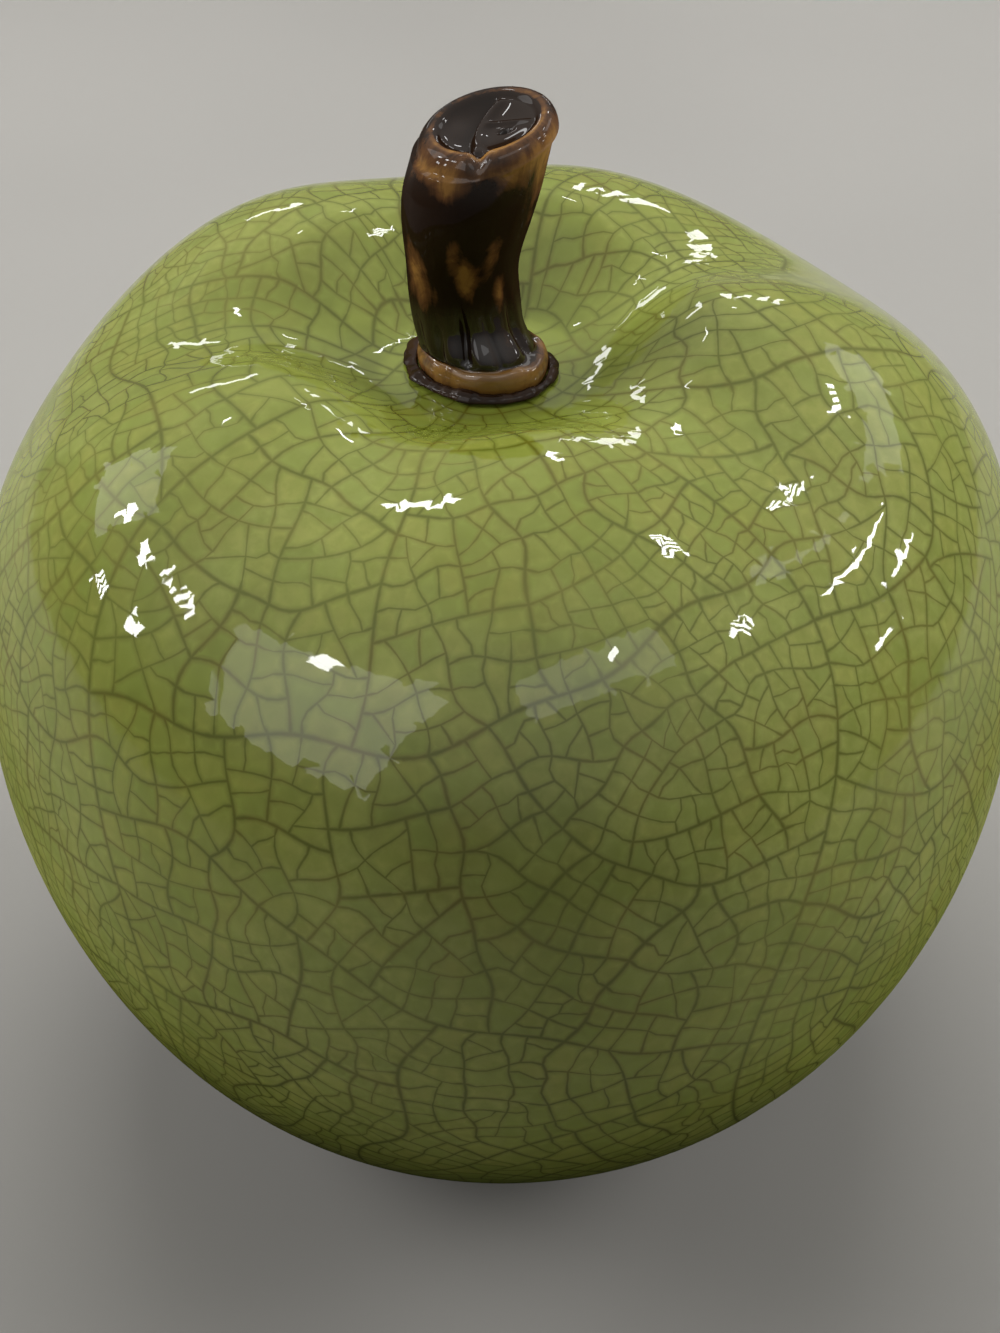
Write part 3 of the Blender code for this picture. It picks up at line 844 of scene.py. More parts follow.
def body_mesh(skin, net, chance):
    """One closed mesh: crackled skin outside, bare clay at the foot and inside."""
    loops = list(net.cells.values())
    sizes = np.array([len(loop) for loop in loops])
    starts = np.concatenate(([0], np.cumsum(sizes)[:-1]))
    here = np.concatenate(loops)
    after = np.concatenate([loop[1:] + loop[:1] for loop in loops])
    before = np.concatenate([loop[-1:] + loop[:-1] for loop in loops])
    cell = np.repeat(np.arange(len(loops)), sizes)

    # Every side of a cell gets an inner point, as far from its cracks as their stain reaches
    places = np.array(net.world)
    normals = skin.normal(net.turns, net.rises)
    middles = np.array([places[loop].mean(0) for loop in loops])
    next_at = np.arange(len(here)) + 1
    next_at[starts + sizes - 1] = starts
    before_at = np.argsort(next_at)

    left_before = np.cross(normals[here], unit(places[here] - places[before]))
    left_after = np.cross(normals[here], unit(places[after] - places[here]))
    inward = (left_before + left_after) / (
        1.0 + np.clip((left_before * left_after).sum(1), -0.4, 1.0))[:, None]
    to_middle = np.linalg.norm(middles[cell] - places[here], axis=1)
    room = cell_room(places, here, starts, sizes)
    depth = np.minimum(
        CRACK_REACH, np.minimum(INSET_TO_MIDDLE * to_middle, INSET_TO_SIDE * room))
    for _ in range(INSET_TRIES):
        inner = places[here] + depth[:, None] * inward
        first = np.cross(places[after] - places[here], inner[next_at] - places[here])
        second = np.cross(inner[next_at] - places[here], inner - places[here])
        folded = ((inner[next_at] - inner) * (places[after] - places[here])).sum(1) <= 0.0
        for side in (first, second):
            folded = folded | ((side * normals[here]).sum(1) <= 0.0)
        depth = np.where(folded | folded[before_at], INSET_BACK * depth, depth)
    inner = places[here] + depth[:, None] * inward
    tilt = chance.normal(0.0, CELL_TILT, (len(loops), 3))
    inner_normals = unit(normals[here] + tilt[cell])

    # Faces along the cracks, and one in the middle of each cell
    count, sides, cells = len(places), len(here), len(loops)
    inner_at = count + np.arange(sides)
    faces = np.stack((here, after, count + next_at, inner_at), 1).tolist()
    faces += [inner_at[start:start + size].tolist() for start, size in zip(starts, sizes)]
    skin_faces = len(faces)

    # Faces of the bare clay, ring by ring from the foot, through the inside, to the well
    rings = closing_rings()
    turn = round_angles(RIM_POINTS)
    closing = np.concatenate([
        shaped(np.full_like(turn, radius), np.full_like(turn, height), turn)
        for radius, height in rings])
    ring_at = np.arange(len(rings) * RIM_POINTS).reshape(len(rings), RIM_POINTS)
    ring_at = count + sides + ring_at
    for ring, beyond in zip(ring_at, ring_at[1:]):
        faces += np.stack((np.roll(ring, -1), ring, beyond, np.roll(beyond, -1)), 1).tolist()
    faces += bridge(net, net.rims[1], skin.low, ring_at[0], True)
    faces += bridge(net, net.rims[0], skin.high, ring_at[-1], False)

    # What the material reads: way to the nearest crack, that crack's strength, the cell's luck
    strength = np.zeros(count)
    for (first, second), value in net.strength.items():
        strength[first] = max(strength[first], value)
        strength[second] = max(strength[second], value)
    rest = len(closing)
    luck = chance.uniform(0.0, 1.0, cells)
    values = {
        "gap": np.concatenate((np.zeros(count), depth / MM, np.full(rest, NO_CRACK))),
        "strength": np.concatenate((strength, strength[here], np.zeros(rest))),
        "cell": np.concatenate((np.full(count, 0.5), luck[cell], np.full(rest, 0.5))),
    }
    mesh = bpy.data.meshes.new("apple_glazed_body")
    mesh.from_pydata(np.concatenate((places, inner, closing)).tolist(), [], faces)
    for name, rows in values.items():
        carry(mesh, name, rows)
    clay_faces = len(faces) - skin_faces
    mesh.polygons.foreach_set("material_index", [0] * skin_faces + [1] * clay_faces)
    cut_cells(mesh)
    mesh.shade_smooth()
    mesh.set_sharp_from_angle(angle=SHARP_ANGLE)
    all_normals = np.concatenate((normals, inner_normals, np.zeros((rest, 3))))
    mesh.normals_split_custom_set_from_vertices(all_normals.tolist())
    return mesh


def stem_foot_radius(angle):
    """Outline of the stem's foot lip, which the bead follows."""
    return STEM_FOOT_RADIUS + STEM_FOOT_OVAL * np.cos(2 * (angle - STEM_FOOT_LONG_WAY))


def trunk_radius(share):
    """Mean radius of the stem at a share of its length, above the lip."""
    narrowed = smooth_step((share - STEM_LIP_AT) / (STEM_WAIST_AT - STEM_LIP_AT))
    swollen = smooth_step((share - STEM_WAIST_AT) / (STEM_SWELL_AT - STEM_WAIST_AT))
    low_part = mix(STEM_FOOT_RADIUS - STEM_LIP_STEP, STEM_WAIST_RADIUS, narrowed)
    return low_part + (STEM_TOP_RADIUS - STEM_WAIST_RADIUS) * swollen


def trunk_centre(share):
    """Middle of the stem at a share of its length, bowed to the left and leaning back."""
    bow = STEM_BOW * math.sin(math.pi * share) ** STEM_BOW_POWER
    return np.array((STEM_LEAN_SIDE * share - bow, STEM_LEAN_BACK * share, 0.0))


def swell_between(share, start, rise, end, fall):
    """Rises from 0 to 1 after a start and falls back after an end."""
    return smooth_step((share - start) / rise) * (1.0 - smooth_step((share - end) / fall))


def bell(share, middle, half_width):
    """Rises to 1 at the middle and falls away on both sides."""
    return math.exp(-((share - middle) / half_width) ** 2)


def turned_from(angle, degrees):
    """Signed angle in degrees from a direction."""
    return (np.degrees(angle) - degrees + 180.0) % 360.0 - 180.0


def groove_depth(angle, share):
    """How deep the grooves between the folds of the foot cut in."""
    starts = smooth_step((share - GROOVE_START) / GROOVE_RISE)
    depth = 0.0
    for direction, deep, half_width, top in STEM_GROOVES:
        fade = 1.0 - smooth_step((share - GROOVE_FADE) / (top - GROOVE_FADE))
        drift = GROOVE_DRIFT * math.sin(9.0 * share + direction)
        away = turned_from(angle, direction + drift * smooth_step((share - 0.2) / 0.3))
        depth = depth + deep * MM * fade * np.exp(-np.abs(away / half_width) ** GROOVE_POWER)
    return starts * depth


def streak_sum(angle, share):
    """How thin the glaze lies at a share of the stem's length."""
    return sum(
        amount * np.exp(-(turned_from(angle, direction) / wide) ** 2 - ((share - at) / tall) ** 2)
        for direction, at, wide, tall, amount in STEM_STREAKS)


def cut_face_height(x, y, reach):
    """Relief of the rolled clay on the stem's cut face, in millimetres."""
    fold = -2.4 + 0.047 * np.maximum(y + 2.0, 0.0) ** 2
    side = x - fold
    over = smooth_step(side / 0.8 + 0.5)
    roll = 0.55 * np.exp(-((side - 1.1) / 1.2) ** 2) * over
    gutter = -0.7 * np.exp(-np.maximum(-side, 0.0) / 0.9) * (1.0 - over)
    ridge = 0.4 * np.exp(-((y - 1.6 + 0.05 * x * x) / 0.55) ** 2) * smooth_step((side - 1.0) / 1.5)
    hole = -1.3 * np.exp(-(((x - 3.1) / 0.9) ** 2 + ((y + 0.9) / 0.45) ** 2))
    swell = 0.6 * np.exp(-(((x + 5.0) / 2.4) ** 2 + ((y - 1.0) / 4.0) ** 2))
    inside = 1.0 - reach**8
    dish = 1.1 - 0.5 * np.clip(y / 9.0, -1.0, 1.0)
    return inside * (0.85 * over + roll + gutter + ridge + hole + swell) - dish * (1.0 - reach**2)


def stem_mesh():
    """Stem with its peg, folded foot, rolled rim and cut face, and how thin its glaze lies."""
    angle = round_angles(STEM_SEGMENTS)
    rings, thin = [], []

    def ring(centre, radius, height, thinness, cut_share=0.0):
        x, y = radius * np.cos(angle), radius * np.sin(angle)
        slope = STEM_TOP_SLOPE_SIDE * x + STEM_TOP_SLOPE_BACK * y
        rings.append(np.stack((x, y, height + cut_share * slope), 1) + centre)
        thin.append(np.broadcast_to(thinness, angle.shape))

    # Peg
    axis = np.zeros(3)
    peg = ((PEG_RADIUS - MM, -PEG_LENGTH), (PEG_RADIUS, MM - PEG_LENGTH), (PEG_RADIUS, 0.0))
    for radius, height in peg:
        ring(axis, radius, np.full_like(angle, height), 0.0)

    # Rolled lip of the foot
    foot = stem_foot_radius(angle)
    lumps = 0.18 * MM * np.sin(5 * angle + 1.0) + 0.12 * MM * np.sin(11 * angle)
    in_front = (0.5 + 0.5 * np.cos(angle - STEM_FRONT)) ** 4
    on_left = (0.5 + 0.5 * np.cos(angle - STEM_LEFT)) ** 2
    on_right = (0.5 + 0.5 * np.cos(angle)) ** 3
    for step in range(LIP_STEPS + 1):
        turn = math.pi * (step / LIP_STEPS - 0.5)
        tuck = (LIP_FOOT_STEP if turn < 0 else LIP_TOP_STEP) * (1.0 - math.cos(turn))
        height = STEM_LIP_HEIGHT / 2 * (1.0 + math.sin(turn))
        height = height + lumps * max(math.sin(turn), 0.0)
        lip_tone = (0.2 + 0.8 * in_front**0.25) * (0.75 + 0.5 * math.cos(turn))
        ring(axis, foot - tuck - LIP_TUCK, height, lip_tone + 0.15 * math.sin(turn))

    # Trunk, from the folds of the foot to the rim
    for step in range(TRUNK_STEPS + 1):
        share = mix(TRUNK_FROM, 1.0 - STEM_RIM_HEIGHT / STEM_LENGTH, step / TRUNK_STEPS)
        cut_share = smooth_step((share - STEM_CUT_FROM) / (1.0 - STEM_CUT_FROM))
        groove = groove_depth(angle, share)
        flare = 1.0 - smooth_step((share - 0.08) / 0.24)
        crease = 1.0 - smooth_step((share - 0.105) / 0.02)
        waist = WAIST_CUT * swell_between(share, *WAIST_SPAN)
        out = mix(trunk_radius(share) - waist, foot - TOE_STEP, flare)
        hollow = FRONT_HOLLOW * swell_between(share, *HOLLOW_SPAN)
        fill = LEFT_FILL * bell(share, *FILL_SPAN)
        trim = RIGHT_CUT * bell(share, *CUT_SPAN)
        radius = out - groove - 0.3 * MM * crease
        radius = radius - in_front * hollow + on_left * fill - on_right * trim
        tone = streak_sum(angle, share) - 0.5 * np.clip(groove / (0.6 * MM), 0.0, 1.0)
        high_up = smooth_step((share - 0.80) / 0.15)
        ring(
            trunk_centre(share), radius, np.full_like(angle, share * STEM_LENGTH),
            np.clip(tone + 0.25 * high_up, -1.0, 1.2), cut_share)

    # Rim, rolled over to the cut face
    centre = trunk_centre(1.0)
    top = STEM_LENGTH - RIM_DROP
    notch = np.exp(-(turned_from(angle, NOTCH_DIRECTION) / NOTCH_HALF_WIDTH) ** 2)
    front = 0.78 + 0.32 * np.cos(angle - RIM_FRONT)
    for step in range(1, RIM_STEPS + 1):
        turn = RIM_TURN * step / RIM_STEPS
        radius = STEM_TOP_RADIUS - STEM_RIM_RADIUS * (1.0 - math.cos(turn))
        tall = STEM_RIM_HEIGHT if turn < math.pi / 2 else STEM_RIM_RADIUS
        height = top - tall * (1.0 - math.sin(turn)) - notch * NOTCH_DEPTH * math.sin(turn)
        crest = bell(turn, 1.75, 0.22)
        rim_tone = (0.50 + 0.60 * crest) * front - 1.2 * smooth_step((turn - 1.9) / 0.35)
        rim_tone = rim_tone + streak_sum(angle, 0.97) * (1.0 - smooth_step(turn / 1.3))
        ring(centre, radius + np.zeros_like(angle), height, rim_tone, 1.0)

    # Cut face
    edge_height = height
    for step in range(1, FACE_STEPS + 1):
        reach = 1.0 - step / (FACE_STEPS + 1)
        x, y = radius * reach * np.cos(angle), radius * reach * np.sin(angle)
        relief = cut_face_height(x / MM, y / MM, reach) * MM
        ring(
            centre, radius * reach + np.zeros_like(angle),
            mix(top - STEM_RIM_RADIUS + 0.4 * MM, edge_height, reach**6) + relief, -1.0, 1.0)

    count = len(rings)
    places = np.concatenate(rings + [rings[0].mean(0)[None], rings[-1].mean(0)[None]])
    at = np.arange(count * STEM_SEGMENTS).reshape(count, STEM_SEGMENTS)
    faces = bands(at)
    bottom, top = count * STEM_SEGMENTS, count * STEM_SEGMENTS + 1
    faces += [(int(b), int(a), bottom) for a, b in zip(at[0], np.roll(at[0], -1))]
    faces += [(int(a), int(b), top) for a, b in zip(at[-1], np.roll(at[-1], -1))]
    mesh = smooth_mesh("apple_stem", places + np.array(SEAT), faces)
    carry(mesh, "thin", np.concatenate(thin + [np.array((0.0, -1.0))]))
    return mesh


def bead_mesh():
    """Puddle of dark glaze that set round the stem's foot, thin at its outer edge."""
    angle = round_angles(BEAD_TURNS)
    size = 2 * (BEAD_RADIUS + BEAD_SWELL * smooth_step(np.cos(angle - BEAD_SWELL_FROM)))
    lumpy = (
        0.12 * np.sin(3 * angle + 0.6) + 0.10 * np.sin(7 * angle + 2.0)
        + 0.06 * np.sin(13 * angle) + 0.03 * np.sin(29 * angle + 1.0))
    wide = size * (0.86 + lumpy)
    tall = 2 * BEAD_RADIUS * (0.66 + lumpy)
    wall = stem_foot_radius(angle) - BEAD_OVERLAP
    outline = np.array(BEAD_OUTLINE + BEAD_OUTLINE[:1])
    run = run_along(outline)
    stops = np.linspace(0.0, run[-1], BEAD_ROUNDS, endpoint=False)
    outs, ups = (np.interp(stops, run, row) for row in outline.T)
    rings = [around(wall + wide * out, angle, tall * up) for out, up in zip(outs, ups)]
    at = np.arange(BEAD_TURNS * BEAD_ROUNDS).reshape(BEAD_ROUNDS, BEAD_TURNS)
    faces = bands(np.vstack((at, at[:1])))
    return smooth_mesh("apple_stem_bead", np.concatenate(rings) + np.array(SEAT), faces)


def pad_mesh(name, low, high, chance):
    """Felt disc with a soft edge and a slightly uneven outline."""
    centre = (np.array(low) + np.array(high)) / 2
    radius, half = (high.x - low.x) / 2, (high.z - low.z) / 2
    angle = round_angles(PAD_TURNS)
    uneven = np.tile(chance.normal(0, 0.012, PAD_TURNS), 3)
    ragged = np.convolve(uneven, np.ones(3) / 3, "same")[PAD_TURNS:2 * PAD_TURNS]
    rings = []
    for out, up in PAD_OUTLINE:
        reach = radius * out * (1.0 + np.clip(ragged, -0.015, 0.012) * (out > 0.9))
        rings.append(around(reach, angle, np.full_like(angle, half * up)))
    at = np.arange(PAD_TURNS * len(rings)).reshape(len(rings), PAD_TURNS)
    faces = bands(at) + [at[0][::-1].tolist(), at[-1].tolist()]
    mesh = smooth_mesh(name, np.concatenate(rings) + centre, faces)
    mesh.set_sharp_from_angle(angle=PAD_SHARP_ANGLE)
    return mesh


def add_piece(name, mesh, materials, replaced):
    """Show a mesh as one piece of the apple in place of its CAD nodes."""
    piece = bpy.data.objects.new(name, mesh)
    bpy.context.scene.collection.objects.link(piece)
    for material in materials:
        mesh.materials.append(material)
    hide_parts(*replaced)
    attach(piece, "root")


def put(tree, kind, links=None, **settings):
    """Add a shader node, set it up and feed its inputs with values or other nodes' outputs."""
    node = tree.nodes.new(kind)
    for name, value in settings.items():
        setattr(node, name, value)
    for name, value in (links or {}).items():
        socket = node.inputs[name]
        if isinstance(value, bpy.types.NodeSocket):
            tree.links.new(value, socket)
        else:
            socket.default_value = value
    return node


def sums(tree, operation, *values):
    """Output of a Math node."""
    return put(tree, "ShaderNodeMath", dict(enumerate(values)), operation=operation).outputs[0]


def eased(tree, value, start, end, low=0.0, high=1.0):
    """A value eased from low to high as it goes from start to end."""
    node = put(tree, "ShaderNodeMapRange", {
        "Value": value, "From Min": start, "From Max": end, "To Min": low, "To Max": high,
    }, interpolation_type="SMOOTHSTEP")
    return node.outputs["Result"]


def blended(tree, share, first, second):
    """Mix of two colours."""
    node = put(tree, "ShaderNodeMix", {0: share, 6: first, 7: second}, data_type="RGBA")
    return node.outputs[2]


def noise(tree, vector, scale, detail=2.0, roughness=0.5, distortion=0.0):
    """Output of a Noise Texture, about 0.5 on average."""
    return put(tree, "ShaderNodeTexNoise", {
        "Vector": vector, "Scale": scale, "Detail": detail, "Roughness": roughness,
        "Distortion": distortion}).outputs["Fac"]


def stretch(tree, vector, scale):
    """Place on the object, stretched so that a pattern on it runs long one way."""
    return put(tree, "ShaderNodeMapping", {"Vector": vector, "Scale": scale}).outputs["Vector"]


def attribute(tree, name):
    """A value that the mesh carries."""
    return put(tree, "ShaderNodeAttribute", attribute_name=name).outputs["Fac"]


def colour(value):
    """A colour with full alpha."""
    return (*value[:3], 1.0)


def glaze_flow_group():
    """Group used by every glaze: how thick it pooled, and the long ripples of its surface."""
    tree = bpy.data.node_groups.new("glaze_flow", "ShaderNodeTree")
    tree.interface.new_socket("Vector", in_out="INPUT", socket_type="NodeSocketVector")
    for name, value in (("Pool Scale", 30.0), ("Ripple Scale", 60.0)):
        socket = tree.interface.new_socket(name, in_out="INPUT", socket_type="NodeSocketFloat")
        socket.default_value = value
    for name in ("Pool", "Ripple", "Fleck"):
        tree.interface.new_socket(name, in_out="OUTPUT", socket_type="NodeSocketFloat")
    given = put(tree, "NodeGroupInput").outputs
    pool = noise(tree, given["Vector"], given["Pool Scale"], 3.0, 0.55, 0.4)
    ripple = noise(tree, given["Vector"], given["Ripple Scale"], 1.0, 0.4)
    for finer, share in ((4.0, 0.16), (16.0, 0.012)):
        scale = sums(tree, "MULTIPLY", given["Ripple Scale"], finer)
        short = noise(tree, given["Vector"], scale, 1.0, 0.4)
        ripple = sums(tree, "ADD", ripple, sums(tree, "MULTIPLY", short, share))
    fleck = noise(tree, given["Vector"], 900.0, 2.0, 0.6)
    put(tree, "NodeGroupOutput", {
        "Pool": eased(tree, pool, 0.3, 0.7), "Ripple": ripple,
        "Fleck": eased(tree, fleck, 0.62, 0.74)})


def glaze_flow(tree, vector, pool_scale, ripple_scale):
    """Outputs of the glaze group placed in a material."""
    node = put(tree, "ShaderNodeGroup", node_tree=bpy.data.node_groups["glaze_flow"])
    tree.links.new(vector, node.inputs["Vector"])
    node.inputs["Pool Scale"].default_value = pool_scale
    node.inputs["Ripple Scale"].default_value = ripple_scale
    return node.outputs


def new_material(name):
    """New material with its node tree, its shader and the place on the object."""
    material = bpy.data.materials.new(name)
    material.use_nodes = True
    tree = material.node_tree
    where = put(tree, "ShaderNodeTexCoord").outputs["Object"]
    return material, tree, tree.nodes["Principled BSDF"], where


def gloss(tree, shader, coat, coat_roughness, edge=EDGE_GLOSS):
    """Clear coat of a fired glaze, which alone mirrors, and less so where it turns away."""
    facing = put(tree, "ShaderNodeLayerWeight", {"Blend": 0.5}).outputs["Facing"]
    weight = sums(tree, "MULTIPLY", eased(tree, facing, 0.45, 0.85, 1.0, edge), coat)
    tree.links.new(weight, shader.inputs["Coat Weight"])
    shader.inputs["Coat Roughness"].default_value = coat_roughness
    shader.inputs["Coat IOR"].default_value = COAT_IOR
    shader.inputs["Specular IOR Level"].default_value = 0.0


def surface(tree, shader, tone, roughness, height, distance):
    """Feed a colour, a roughness and a relief of the given depth to the shader."""
    relief = put(tree, "ShaderNodeBump", {"Height": height, "Distance": distance})
    tree.links.new(tone, shader.inputs["Base Color"])
    tree.links.new(roughness, shader.inputs["Roughness"])
    tree.links.new(relief.outputs["Normal"], shader.inputs["Normal"])


def crackle_glaze_material(looks):
    """Green glaze with stained crackle lines under a clear gloss."""
    material, tree, shader, where = new_material("green_crackle_glaze")
    flow = glaze_flow(tree, where, 26.0, 48.0)
    gap, strength, cell = (attribute(tree, name) for name in ("gap", "strength", "cell"))
    uneven = noise(tree, where, 170.0, 3.0, 0.6)
    fading = noise(tree, where, 30.0, 2.0, 0.5)
    stain = noise(tree, where, 70.0, 3.0, 0.6)

    deep = colour(looks.glaze_deep)
    body = blended(tree, flow["Pool"], colour(looks.glaze_light), deep)
    body = blended(tree, sums(tree, "MULTIPLY", cell, 0.5), body, colour(looks.glaze_yellow))
    body = blended(tree, eased(tree, cell, 0.0, 0.5, 0.40, 0.0), body, deep)
    cloudy = noise(tree, where, 330.0, 3.0, 0.65)
    body = blended(tree, eased(tree, cloudy, 0.36, 0.68, 0.0, 0.45), body, deep)

    height = put(tree, "ShaderNodeSeparateXYZ", {"Vector": where}).outputs["Z"]
    # Painted shade: the glaze goes near black toward the foot, where less light reaches
    at_foot = eased(tree, height, *FOOT_PAINTED_SHADE, 0.98, 0.0)
    body = blended(tree, at_foot, body, colour(looks.foot_shade_glaze))
    from_stem = put(tree, "ShaderNodeVectorMath", {
        0: where, 1: (SEAT.x, SEAT.y, SEAT.z)}, operation="DISTANCE").outputs["Value"]
    # Deeper green round the stem: partly glaze pooled in the well, partly painted shade of the stem
    body = blended(tree, eased(tree, from_stem, *WELL_POOL_AND_SHADE, 0.85, 0.0), body, deep)

    fine = noise(tree, where, 650.0, 2.0, 0.5)
    wander = sums(tree, "MULTIPLY_ADD", uneven, 0.7, sums(tree, "MULTIPLY", fine, 0.5))
    reach = sums(tree, "MULTIPLY", strength, eased(tree, wander, 0.35, 0.85, 0.17, 0.42))
    line = eased(tree, sums(tree, "DIVIDE", gap, reach), 0.0, 1.55, 1.0, 0.0)
    shown = sums(tree, "MULTIPLY", line, eased(tree, fading, 0.30, 0.62, 0.42, 0.78))
    halo = sums(tree, "MULTIPLY", eased(tree, gap, 0.0, 1.3, 0.50, 0.0), strength)
    stained = eased(tree, stain, 0.44, 0.62)
    line_colour = blended(tree, stained, colour(looks.crack_green), colour(looks.crack_brown))
    # Painted shade: the crack lines darken toward the foot
    lines_shaded_low = eased(tree, height, *FOOT_LINES_PAINTED_SHADE, 1.0, 0.0)
    line_colour = blended(tree, lines_shaded_low, line_colour, colour(looks.crack_foot_shade))
    body = blended(tree, halo, body, line_colour)
    body = blended(tree, shown, body, line_colour)

    coat = eased(tree, height, *COAT_RISE, 0.20, 1.0)
    gloss(tree, shader, coat, 0.025, eased(tree, height, *EDGE_RISE, 0.2, 0.8))
    climb = eased(tree, from_stem, *WELL_CLIMB, 1.6, 0.0)
    roll = eased(tree, from_stem, *WELL_ROLL, 0.0, 0.9)
    relief = sums(tree, "ADD", flow["Ripple"], sums(tree, "ADD", climb, roll))
    roughness = eased(tree, flow["Fleck"], 0.0, 1.0, 0.22, 0.34)
    surface(tree, shader, body, roughness, relief, 1.1 * MM)
    return material


def bare_clay_material():
    """Unglazed pale clay of the foot ring and the inside."""
    material, tree, shader, where = new_material("bare_clay")
    grain = noise(tree, where, 1400.0, 3.0, 0.7)
    cloud = noise(tree, where, 70.0, 3.0, 0.6)
    speck = eased(tree, noise(tree, where, 700.0, 2.0, 0.5), 0.66, 0.72, 0.0, 0.7)
    tone = blended(tree, eased(tree, cloud, 0.3, 0.7), CLAY_PALE, CLAY_BUFF)
    tone = blended(tree, speck, tone, CLAY_SPECK)
    roughness = eased(tree, grain, 0.2, 0.8, 0.72, 0.92)
    surface(tree, shader, tone, roughness, grain, 0.12 * MM)
    return material


def stem_glaze_material(looks):
    """Brown-black glaze that breaks to amber where it lies thin."""
    material, tree, shader, where = new_material("brown_stem_glaze")
    flow = glaze_flow(tree, where, 120.0, 150.0)
    thin = attribute(tree, "thin")
    stretched = stretch(tree, where, (1.0, 1.0, 0.3))
    amount = sums(tree, "MULTIPLY", thin, 0.5)
    streak = noise(tree, stretched, 260.0, 4.0, 0.6, 1.0)
    blotch = noise(tree, where, 170.0, 4.0, 0.6, 0.8)
    for mottle in (streak, blotch):
        amount = sums(tree, "ADD", amount, sums(tree, "MULTIPLY", mottle, 0.7))
    brown = eased(tree, amount, 0.80, 1.08)
    body = blended(tree, brown, colour(looks.glaze_black), colour(looks.glaze_brown))
    body = blended(tree, eased(tree, amount, 1.02, 1.32), body, colour(looks.glaze_amber))

    height = put(tree, "ShaderNodeSeparateXYZ", {"Vector": where}).outputs["Z"]
    foot_end, waist, swell, rim = (
        SEAT.z + share * STEM_LENGTH for share in (*FOOT_SHINE, *RIM_SHINE))
    at_foot = eased(tree, height, foot_end, waist, 0.84, 0.0)
    at_rim = eased(tree, height, swell, rim, 0.16, 0.62)
    gloss(tree, shader, sums(tree, "ADD", at_rim, at_foot), 0.03)
    roughness = eased(tree, flow["Pool"], 0.0, 1.0, 0.16, 0.26)
    surface(tree, shader, body, roughness, flow["Ripple"], 0.5 * MM)
    return material


def bead_material(looks):
    """Nearly black glaze of the bead, mottled with brown by the glaze group's pool pattern."""
    material, tree, shader, where = new_material("dark_bead")
    flow = glaze_flow(tree, where, 160.0, 220.0)
    body = blended(tree, flow["Pool"], colour(looks.glaze_black), BEAD_BROWN)
    gloss(tree, shader, 0.35, 0.02)
    roughness = eased(tree, flow["Fleck"], 0.0, 1.0, 0.12, 0.3)
    surface(tree, shader, body, roughness, flow["Ripple"], 0.5 * MM)
    return material


def felt_material():
    """Brown felt, with matted fibres."""
    material, tree, shader, where = new_material("brown_felt")
    fuzz = noise(tree, stretch(tree, where, (1.0, 3.5, 1.0)), 2600.0, 4.0, 0.75, 1.5)
    clump = noise(tree, where, 500.0, 3.0, 0.6)
    tone = blended(tree, eased(tree, fuzz, 0.3, 0.7), FELT_DARK, FELT_PALE)
    tone = blended(tree, eased(tree, clump, 0.4, 0.7, 0.0, 0.4), tone, FELT_DUST)
    shader.inputs["Sheen Weight"].default_value = 0.4
    shader.inputs["Sheen Roughness"].default_value = 0.6
    roughness = eased(tree, fuzz, 0.2, 0.8, 0.85, 1.0)
    surface(tree, shader, tone, roughness, sums(tree, "ADD", fuzz, clump), 0.25 * MM)
    return material


def seen(tree):
    """Mask of the rays that show the surroundings: seen straight, in gloss or through glass."""
    path = put(tree, "ShaderNodeLightPath").outputs
    shown = sums(tree, "MAXIMUM", path["Is Camera Ray"], path["Is Glossy Ray"])
    return sums(tree, "MAXIMUM", shown, path["Is Transmission Ray"])


def floor_material(looks):
    """Plain pale floor that keeps the shadow and far off goes over into the surroundings."""
    material, tree, shader, where = new_material("pale_floor")
    cloud = eased(tree, noise(tree, where, 3.0, 2.0, 0.5), 0.3, 0.7)
    deep = colour([0.93 * value for value in looks.floor])
    tone = blended(tree, cloud, colour(looks.floor), deep)
    tree.links.new(tone, shader.inputs["Base Color"])
    shader.inputs["Roughness"].default_value = 0.55
    shader.inputs["Specular IOR Level"].default_value = 0.3
    away = put(tree, "ShaderNodeVectorMath", {0: where}, operation="LENGTH").outputs["Value"]
    far = sums(tree, "MULTIPLY", eased(tree, away, *FLOOR_FADE), seen(tree))
    pale = put(tree, "ShaderNodeEmission", {"Color": SURROUNDINGS, "Strength": HORIZON_LEVEL})
    both = put(tree, "ShaderNodeMixShader", {0: far, 1: shader.outputs[0], 2: pale.outputs[0]})
    tree.links.new(both.outputs[0], tree.nodes["Material Output"].inputs["Surface"])
    return material


def lamp(name, direction, elevation, distance, size, radiance, mirrored, strips, level):
    """Softbox that stands as its row in the table says, turned to the apple."""
    azimuth, rise = math.radians(direction), math.radians(elevation)
    way = Vector((
        math.sin(azimuth) * math.cos(rise), -math.cos(azimuth) * math.cos(rise), math.sin(rise)))
    facing = (-way).to_track_quat("-Z", "Y")
    pitch = size[0] / strips
    width = pitch * (1.0 if strips == 1 else STRIP_SHARE)
    for number in range(strips):
        light = bpy.data.lights.new(name, "AREA")
        light.shape = "RECTANGLE"
        light.size, light.size_y = width, size[1]
        light.energy = math.pi * width * size[1] * radiance * level
        holder = bpy.data.objects.new(name, light)
        aside = Vector((pitch * (number + 0.5) - size[0] / 2, 0.0, 0.0))
        holder.location = LAMP_AIM + way * distance + facing @ aside
        holder.rotation_euler = facing.to_euler()
        holder.visible_glossy = mirrored
        holder.visible_diffuse = not mirrored
        bpy.context.scene.collection.objects.link(holder)


def paint(name, description, default):
    """A colour that the user can change."""
    return FloatVectorProperty(
        name=name, description=description, subtype="COLOR", default=default)


